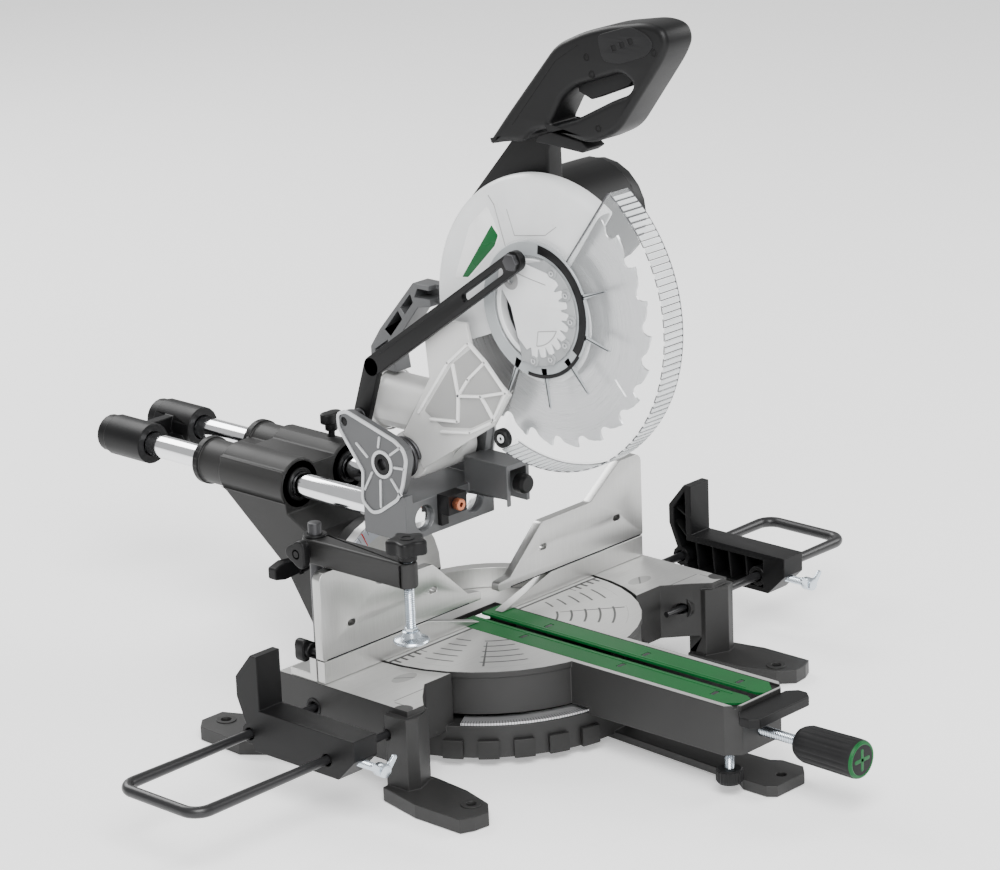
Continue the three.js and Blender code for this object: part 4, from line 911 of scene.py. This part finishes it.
def add_levelling_foot():
    low, high = corners("levelling_foot")
    x, y, _ = middle("levelling_foot")
    wheel = plate("z", lobed(x, y, 13, 24, 0.7), low[2] + 2, low[2] + 13, 0.7)
    pad = turned("z", (x, y), solid_profile(11.6, 0, 14.5, 1.2), base=low[2])
    stand_in("levelling_foot", merged(wheel, pad), black_plastic)
    extra("levelling_stud", "levelling_foot", thread("z", (x, y), 4.5, low[2] + 12, high[2], 1.5, 0.6),
          zinc_plate)


# ---- Bevel arm and slide ----

def add_bevel_arm():
    eased("bevel_casting", dark_cast, 1.6)
    low, high = corners("rail_bush_left")
    rings = []
    for x in (-RAIL_X, RAIL_X):
        for y in (low[1] - 2, high[1] - 6):
            rings.append(turned("y", (x, RAIL_Z), ring_profile(RAIL_R + 3.6, RAIL_R + 12.4, y, y + 8, 1)))
        rings.append(turned("y", (x, RAIL_Z), ring_profile(RAIL_R + 0.4, RAIL_R + 4.2, low[1] - 4,
                                                              low[1] + 2, 0.6)))
    extra("sleeve_rings", "bevel_casting", merged(*rings), black_plastic)
    for _, word in SIDES:
        eased(f"rail_bush_{word}", bright_steel, 0.4)
    eased("bevel_lock_lever", black_plastic, 2, 40)
    x, y, _ = pivot("slide_lock")
    low, high = corners("slide_lock_knob")
    wings = plate("z", lobed(x, y, 13, 2, 6, 0.9), high[2] - 11, high[2], 2, steps=5)
    collar = turned("z", (x, y), solid_profile(6.5, high[2] - 19, high[2] - 9, 0.8))
    stud = turned("z", (x, y), solid_profile(3.5, low[2], high[2] - 10, 0.3), 20)
    stand_in("slide_lock_knob", merged(wings, collar, stud), black_plastic)


def add_slide():
    rail = solid_profile(RAIL_R, RAIL_LOW[1], RAIL_HIGH[1], 1.2)
    for side, word in SIDES:
        stand_in(f"rail_{word}", turned("y", (side * RAIL_X, RAIL_Z), rail, 96), chrome)
    eased("rear_cap", black_plastic, 1.2)
    eased("carriage", gray_cast, 1)
    add_ear_ribs()
    eased("head_pivot_pin", dark_steel, 0.8)
    eased("stop_buffer", black_plastic, 0.8)
    add_spring()
    eased("depth_stop", black_plastic, 0.8)
    x, _, z = pivot("depth_stop_screw")
    low, high = corners("depth_stop_screw")
    shank = thread("y", (x, z), 3, low[1] + 6, high[1], 1, 0.4)
    head = plate("y", lobed(x, z, 6, 20, 0.5), low[1], low[1] + 7.5, 0.6, [circle(x, z, 2.4, 6)])
    stand_in("depth_stop_screw", merged(shank, head), copper_plate)


def add_ear_ribs():
    """Ribs run from a ring round the bore to the ear's rim, on both ears; their far lighter colour than the
    gray casting is painted highlight.
    """
    low, high = corners("carriage")
    rim = rounded([(HEAD_Y + 6, 200), (HEAD_Y - 19, 217), (HEAD_Y - 26, 232), (HEAD_Y - 32, HEAD_Z + 10),
                   (HEAD_Y - 29, HEAD_Z + 19), (HEAD_Y - 18, HEAD_Z + 26), (LINK_Y - 4, LINK_Z + 10),
                   (LINK_Y + 6, LINK_Z + 6), (LINK_Y + 5, LINK_Z - 7), (HEAD_Y + 25, HEAD_Z - 12),
                   (HEAD_Y + 28, 206), (HEAD_Y + 16, 197)], 4, 4)
    spokes = [((20, 4), (34, 15)), ((4, 17), (2, 27)), ((-12, 12), (-26, 22)), ((-17, 0), (-30, 1)),
              ((-12, -13), (-24, -27)), ((3, -17), (4, -44)), ((14, -11), (25, -30))]
    for (out, word), face in zip(SIDES, (low[0], high[0])):
        span = sorted((face - out * 0.5, face + out * 1.3))
        ring = turned("x", (HEAD_Y, HEAD_Z), ring_profile(10.6, 14.2, *span, 0.4))
        border = plate("x", rim, *span, 0.4, [inset(rim, 2.6)], 2)
        bars = [rib("x", *(np.array(spoke) + (HEAD_Y, HEAD_Z)), 2.6, *span) for spoke in spokes]
        # The ribs' far lighter finish is painted highlight.
        extra(f"ear_ribs_{word}", "carriage", merged(ring, border, *bars), highlight_rib_coat)
        pin = turned("x", (HEAD_Y, HEAD_Z), ring_profile(5.6, 10.4, *span, 0.5))
        extra(f"pin_ring_{word}", "head_pivot_pin", pin, black_plastic)


def add_spring():
    """A helix round the head's pivot: x rises with the turn and the radius stays the same."""
    low, high = corners("return_spring")
    wire = 2.2
    reach = (high[2] - low[2]) / 2 - wire
    t = np.linspace(0, 3.5, 170)
    turn = 2 * np.pi * t
    route = np.column_stack([np.linspace(low[0] + wire, high[0] - wire, len(t)),
                             HEAD_Y + reach * np.cos(turn), HEAD_Z + reach * np.sin(turn)])
    ups = np.column_stack([np.zeros(len(t)), np.cos(turn), np.sin(turn)])
    stand_in("return_spring", swept(route, ups, wire, 14), dark_steel, 60)


# ---- Head ----

def add_head():
    eased("head_arm", pale_cast, 1)
    add_cheek_ribs()
    add_upper_guard()
    add_dust_port()
    eased("motor_housing", black_plastic, 1.2, 25)
    eased("motor_rotor", copper_plate, 0.6)
    eased("carry_handle", gray_cast, 0.8)
    add_handle()


def add_cheek_ribs():
    """Y-shaped ribs on the arm's cheek, from its outline in to where its pockets meet: the ribs are a lighter
    copy of the pale casting as painted highlight, and a darker plate in the pockets is painted shade.
    """
    low, _ = corners("head_arm")
    span = (low[0] - 3, low[0] + 0.6)
    rim = [(60, 296), (18, 353), (-10, 377), (-31, 362), (-57, 336), (-38, 304), (-8, 288), (30, 282)]
    hub = (6, 322)
    spokes = [[hub, (12, 352)], [hub, (-8, 341), (-31, 362)], [hub, (-24, 327), (-40, 306)],
              [hub, (8, 296), (44, 292)], [(-24, 327), (-54, 336)]]
    bars = [bar for line in [rim, *spokes] for bar in ribs("x", line, 2.8, *span)]
    # The ribs' lighter finish is painted highlight.
    extra("cheek_ribs", "head_arm", merged(*bars), pale_painted_highlight)
    # A darker plate over the pockets: painted shade.
    floor = rounded([(54, 298), (14, 352), (-12, 372), (-30, 358), (-52, 337), (-36, 307), (-8, 292),
                     (30, 286)], 3)
    extra("cheek_pocket_shade", "head_arm", plate("x", floor, low[0] - 0.4, low[0] + 0.4, 0.2), pocket_painted_shade)


def guard_section():
    """The upper guard's section: a channel with thin walls and round shoulders, open towards the blade."""
    outer = corners("upper_guard")[1][2] - BLADE_Z
    half, skin, bend, inner = GUARD_HALF, GUARD_SKIN, 9.0, 62
    shoulder = arc(outer - bend, half - bend, bend, 0, 90, 12).tolist()
    hollow = arc(outer - 3 - bend + skin, half - bend, bend - skin, 90, 0, 10).tolist()
    outside = [(inner, -half), *[(r, -x) for r, x in shoulder[::-1]], *shoulder, (inner, half)]
    inside = [(inner, half - skin), *hollow, *[(r, -x) for r, x in hollow[::-1]], (inner, skin - half)]
    return outside + inside


def add_upper_guard():
    half, skin = GUARD_HALF, GUARD_SKIN
    disc = circle(BLADE_Y, BLADE_Z, 62.5, 72)
    walls = [plate("x", disc, -half, skin - half, 0.3, [circle(BLADE_Y, GUARD_Z, 44, 60)]),
             plate("x", disc, half - skin, half, 0.3, [circle(BLADE_Y, BLADE_Z, 27, 48)])]
    collar = turned("x", (BLADE_Y, GUARD_Z), ring_profile(44, 49, -half - 7, 1 - half, 0.8), 80)
    posts = [turned("x", (y, z), solid_profile(6, half - 1, 13, 0.4), 24)
             for y, z in ((-120, 470), (-10, 440), (-60, 500))]
    channel = swung(guard_section(), (BLADE_Y, BLADE_Z), -22, 125)
    stand_in("upper_guard", merged(channel, *walls, collar, *posts), guard_coat)
    face = (-half - 0.35, 0.5 - half)
    # Gray lines along the guard's creases: painted shade.
    creases = ribs("x", [(-29, 521), (-36, 513), (-51, 468), (-60, 462)], 1.0, *face)
    creases += ribs("x", [(-52, 511), (-61, 487), (-100, 493), (-114, 503)], 0.8, *face)
    extra("guard_crease_shade", "upper_guard", merged(*creases), crease_painted_shade)
    add_label()


def add_label():
    """A plain two-coloured label, with no lettering: white, with a green band along its lower edge."""
    face = -GUARD_HALF
    outline = rounded([(19, 433), (-3, 488), (-27, 511), (-42, 484), (-36, 471), (1, 435)], 3)
    extra("guard_label", "upper_guard", plate("x", outline, face - 0.3, face + 0.3, 0.12), label_white)
    green_edge = rounded([(9, 436), (-32, 493), (-40, 484), (-35, 473), (1, 437)], 1.5)
    band_shape = plate("x", green_edge, face - 0.45, face, 0.1)
    extra("guard_label_band", "upper_guard", band_shape, label_green)


def add_dust_port():
    low, high = corners("dust_port")
    x, _, z = middle("dust_port")
    outer = (high[0] - low[0]) / 2
    eased("dust_port", pale_cast, 0.8)
    # The lip takes the lighter copy of the pale casting as painted highlight.
    lip = turned("y", (x, z), ring_profile(outer - 0.6, outer + 1, high[1] - 12, high[1] - 9, 0.5), 72)
    extra("dust_port_lip", "dust_port", lip, pale_painted_highlight)


def add_handle():
    """The loop and the foot are plates with wide round edges; the loop ends clear of the guard's rim."""
    half, rim_clear = 20, 54.8
    loop = rounded([(-64, 605), (-127, 677), (-160, 692), (-190, 701), (-236, 709), (-256, 706), (-262, 692),
                    (-254, 676), (-200, 605), (-165, 589), (-114, 597), (-94, 591), (-85, 580.5), (-60, 578),
                    (-36, 571.5)], 12)
    opening = rounded([(-116, 600), (-132, 627), (-150, 641), (-206, 660), (-221, 652), (-214, 641),
                       (-194, 633), (-150, 611)], 7)
    body = plate("x", loop, -half, half, 6, [opening], 7)
    foot_arc = arc(-40, 478, rim_clear, 24, 144, 24)
    foot = plate("x", np.vstack([[(26, 498), (10, 500)], foot_arc, [(-84, 566), (-92, 588), (-68, 604)]]),
                 12.8, 34, 3, steps=4)
    stand_in("main_handle", merged(body, foot), black_plastic, 40)
    eased("trigger", grip_rubber, 1.5, 40)
    eased("guard_release_lever", grip_rubber, 1.2, 40)
    grip = rounded([(-180, 692), (-218, 704), (-238, 700), (-248, 690), (-238, 679), (-206, 668),
                    (-186, 669)], 7)
    vents = [rounded([(y, z), (y - 6, z + 2), (y - 8, z - 3), (y - 2, z - 5)], 1.2)
             for y, z in ((-196, 684), (-206, 688), (-216, 692))]
    for out, word in SIDES:
        face = out * half
        span = sorted((face - out * 2, face + out * 0.9))
        extra(f"handle_pad_{word}", "main_handle", plate("x", grip, *span, 0.8, vents), grip_rubber)
        bolt = ring_profile(1.8, 3.6, *sorted((face - out, face + out * 0.5)), 0.4)
        bolts = [turned("x", spot, bolt, 28) for spot in ((-166, 670), (-172, 655), (-247, 683), (-178, 606))]
        extra(f"handle_screws_{word}", "main_handle", merged(*bolts), deep_black)
    seams = ribs("x", [(-72, 596), (-128, 662), (-156, 680)], 0.7, -half - 0.2, 1 - half)
    extra("handle_seam", "main_handle", merged(*seams), deep_black)


# ---- Blade, guard and link ----

def add_blade():
    low, high = corners("saw_blade")
    radius = (high[1] - low[1]) / 2
    half = high[0]
    pitch = 360 / 24
    tooth = ((0, 0), (2.4, 0.3), (5, 0.5), (9.5, 0.66), (10.5, 0.78), (9, 0.9), (4, 0.97))
    starts = np.arange(0, 360, pitch)
    teeth = [polar(radius - depth, start + share * pitch) for start in starts for depth, share in tooth]
    slots = [capsule(*polar(radius - 32, angle), *polar(radius - 14, angle + 3), 0.9, 4)
             for angle in (30, 120, 210, 300)]
    shape = plate("x", teeth, -half, half, 0.15, [circle(BLADE_Y, BLADE_Z, 12.6, 48), *slots], 1)
    stand_in("saw_blade", shape, blade_face, 25)
    tip = ((-0.2, -0.3), (0.5, 1.6), (6.4, 1.2), (6.2, -0.5))
    tips = [plate("x", [polar(radius - depth, start + turn) for depth, turn in tip], -half - 0.5, half + 0.5,
                  0.2, steps=1) for start in starts]
    extra("blade_tips", "saw_blade", merged(*tips), bright_steel)
    eased("arbor", bright_steel, 0.5)
    eased("blade_flange", bright_steel, 0.8)


def add_lower_guard():
    """A clear sheet with a rim over the teeth, a clear ring on round the hub, and the rim's fine ribs."""
    low, high = corners("lower_guard")
    face, inside, back = low[0], low[0] + 2.3, high[0]
    hub_in, hub_out, rim_in, rim_out = 49.4, 67.8, 153.5, 156.5
    rim_start, rim_end = 127, 291
    sheet = swung([(hub_in, face), (rim_out - 2, face), (rim_out, face + 2), (rim_out, back - 0.5),
                   (rim_out - 0.5, back), (rim_in + 0.5, back), (rim_in, back - 0.5), (rim_in, inside + 1),
                   (rim_in - 1, inside), (hub_in, inside)], (BLADE_Y, GUARD_Z), rim_start, rim_end, 90)
    disc = swung([(hub_in, face), (hub_out, face), (hub_out, inside), (hub_in, inside)],
                 (BLADE_Y, GUARD_Z), rim_end - 0.5, rim_start + 360.5, 72)
    stand_in("lower_guard", merged(sheet, disc), clear_guard)
    steps = np.arange(rim_start + 2, rim_end - 2, 2.3)
    teeth = [hub_band(rim_out - 0.3, rim_out + 0.9, angle, angle + 1.5, 3, face + 1.2, back - 1.2, 0.3)
             for angle in steps]
    extra("guard_rim_ribs", "lower_guard", merged(*teeth), rim_white)
    # Dark lines in the gaps between the rim ribs: painted shade.
    marks = [hub_band(rim_out - 0.2, rim_out + 0.3, angle + 1.72, angle + 2.02, 3, face + 1.2, back - 1.2,
                      0.08) for angle in steps]
    # Dark lines along the rim's back edge, dashed along its face and across its start: painted shade at the
    # clear sheet's edges.
    edges = [hub_band(rim_out - 0.9, rim_out + 0.3, rim_start + 0.5, rim_end - 0.5, 80, back - 0.7,
                      back + 0.3, 0.15)]
    edges += [hub_band(rim_out - 0.5, rim_out + 0.2, angle, angle + 2.9, 4, face - 0.1, face + 0.8, 0.15)
              for angle in np.arange(rim_start + 1, rim_end - 5, 4.6)]
    edges.append(hub_band(60, rim_out - 1, rim_start - 0.4, rim_start + 0.2, 3, face - 0.2, inside, 0.1))
    extra("guard_rim_shade_lines", "lower_guard", merged(*marks, *edges), rim_painted_shade)


def add_guard_hub():
    low, high = corners("guard_hub_plate")
    face, seat = low[0], low[0] + 1.5
    back = [(BLADE_Y + a, GUARD_Z + b)
            for a, b in ((16, -53), (20, -29), (28, 0), (44, 22), (42, 36), (26, 46), (8, 44), (-14, 50))]
    disc = rounded(np.vstack([arc(BLADE_Y, GUARD_Z, 53, 106, 286, 50), back]), 1.2, 3)
    notch = ((44.6, 0), (45, 4), (44.4, 8), (36, 10), (36.6, 12))
    teeth = [hub_spot(radius, angle + turn) for angle in range(130, 280, 15) for radius, turn in notch]
    raised = rounded([hub_spot(44, 118), *teeth, hub_spot(40, 282),
                      *[(y * 0.97 + BLADE_Y * 0.03, z) for y, z in back[1:-1]]], 0.8, 3)
    eye = (-64, 447)
    screws = [hub_spot(48.5, angle) for angle in (123, 153, 183, 213, 243, 270)]
    bosses = [plate("x", circle(*spot, 5.6, 28), seat - 1.6, seat + 0.4, 0.8) for spot in screws]
    front = plate("x", raised, face, seat + 0.4, 0.5, [circle(*eye, 3.4, 32)])
    stand_in("guard_hub_plate", front, guard_coat)
    # The lower disc is gray as painted shade under the raised toothed plate.
    extra("hub_plate_disc", "guard_hub_plate",
          merged(plate("x", disc, seat, high[0] - 0.4, 0.4), *bosses), hub_painted_shade)
    # Gray lines round the eye, along the arc, the chords and a line below: painted shade at the moulding's
    # edges.
    marks = [turned("x", eye, ring_profile(4, 9.5, face - 0.7, face + 0.4, 0.4), 40),
             hub_band(33, 33.9, 205, 262, 20, face - 0.45, face + 0.3, 0.15, 3)]
    chords = [hub_spot(33, 262), hub_spot(20, 250), hub_spot(33, 206)]
    marks += ribs("x", chords, 0.9, face - 0.45, face + 0.3)
    marks += ribs("x", [(-72, 455), (-88, 452), (-108, 449)], 0.8, face - 0.4, face + 0.3)
    extra("hub_plate_shade_lines", "guard_hub_plate", merged(*marks), crease_painted_shade)
    heads = [screw_head("x", spot, 3, seat - 1.5, -1.2) for spot in screws]
    extra("hub_screws", "guard_hub_plate", merged(*heads), bright_steel)
    add_guard_ring()
    add_guard_roller()


def add_guard_ring():
    """The smoky ring under the hub plate, its five fins, and their dark front edges."""
    low, high = corners("guard_ring")
    ring = turned("x", (BLADE_Y, GUARD_Z), ring_profile(52, 66, low[0], high[0], 0.5), 96)
    fin_angles = (160, 195, 228, 261, 294)
    spine = ((56, -4), (72, -1.4), (95, -0.25), (95, 0.25), (72, 1.4), (56, 4))
    fins = [plate("x", [hub_spot(radius, angle + turn) for radius, turn in spine], low[0], high[0], 0.2,
                  steps=2) for angle in fin_angles]
    stand_in("guard_ring", merged(ring, *fins), smoke_plastic)
    dark = [hub_band(55.5, 64, 96, 214, 50, low[0] - 0.8, low[0] + 0.3, 0.4, 3),
            hub_band(62, 65.6, 214, 280, 30, low[0] - 0.5, low[0] + 0.3, 0.2, 3)]
    dark += [rib("x", hub_spot(64, angle), hub_spot(93, angle), 0.9, low[0] - 0.5, low[0] + 0.3)
             for angle in fin_angles]
    extra("ring_shade", "guard_ring", merged(*dark), black_plastic)


def add_guard_roller():
    low, high = corners("guard_roller")
    y, z = pivot("guard_roller")[1:]
    tyre = turned("x", (y, z), ring_profile(5.4, 9.5, low[0], high[0], 1.2), 48)
    core = turned("x", (y, z), solid_profile(5.5, low[0] + 1, high[0] - 1, 0.4), 40)
    stand_in("guard_roller", merged(tyre, core), black_plastic)
    hub = turned("x", (y, z), ring_profile(1.6, 4.4, low[0] + 0.2, low[0] + 1.4, 0.3), 36)
    extra("roller_hub", "guard_roller", hub, bright_steel)


def add_link():
    """The guard's link: a bent bar with a raised edge round a long groove, and a slot at its top."""
    out = corners("guard_link")[0][0]
    top, bend = (-83, 471), (112, 335)
    span = (-38.0, -30.5)
    slot = capsule(-66, 459, -18, 425.5, 3.6)
    upper = plate("x", capsule(*top, *bend, 10, 14), *span, 0.9, [slot])
    lower = plate("x", capsule(*bend, LINK_Y, LINK_Z, 10, 14), *span, 0.9)
    pins = [turned("x", top, solid_profile(6.5, -41, -27, 0.6), 32),
            turned("x", (LINK_Y, LINK_Z), solid_profile(4, out, -37, 0.4), 28)]
    stand_in("guard_link", merged(upper, lower, *pins), black_plastic)
    groove = merged(rib("x", (4, 417), (100, 350), 0.9, -38.35, -37.6),
                    rib("x", (-4, 405), (92, 338), 0.9, -38.35, -37.6))
    extra("link_edges", "guard_link", groove, grip_rubber)
    bolt = merged(plate("x", circle(*top, 8.5, 6), -43.5, -38, 0.6),
                  turned("x", (LINK_Y, LINK_Z), ring_profile(4.2, 8, -39.6, -38, 0.4), 36))
    extra("link_bolt", "guard_link", bolt, dark_steel)


# ---- The whole saw ----

def add_floor():
    bpy.ops.mesh.primitive_plane_add(size=30, location=(0, 0, -0.0005))
    floor = bpy.context.object
    floor.name = "floor"
    finish = Finish("floor_paper", (0.97, 0.97, 0.97), 0.6, Emission_Color=(1, 1, 1, 1),
                    Emission_Strength=0.42)
    finish.put("Roughness", 0.55 + 0.1 * finish.noise(200, 2))
    floor.data.materials.append(finish.material)


add_base()
add_fences()
add_loops()
add_clamp()
add_turntable()
add_bevel_arm()
add_slide()
add_head()
add_blade()
add_lower_guard()
add_guard_hub()
add_link()
add_floor()
add_camera()
add_studio()
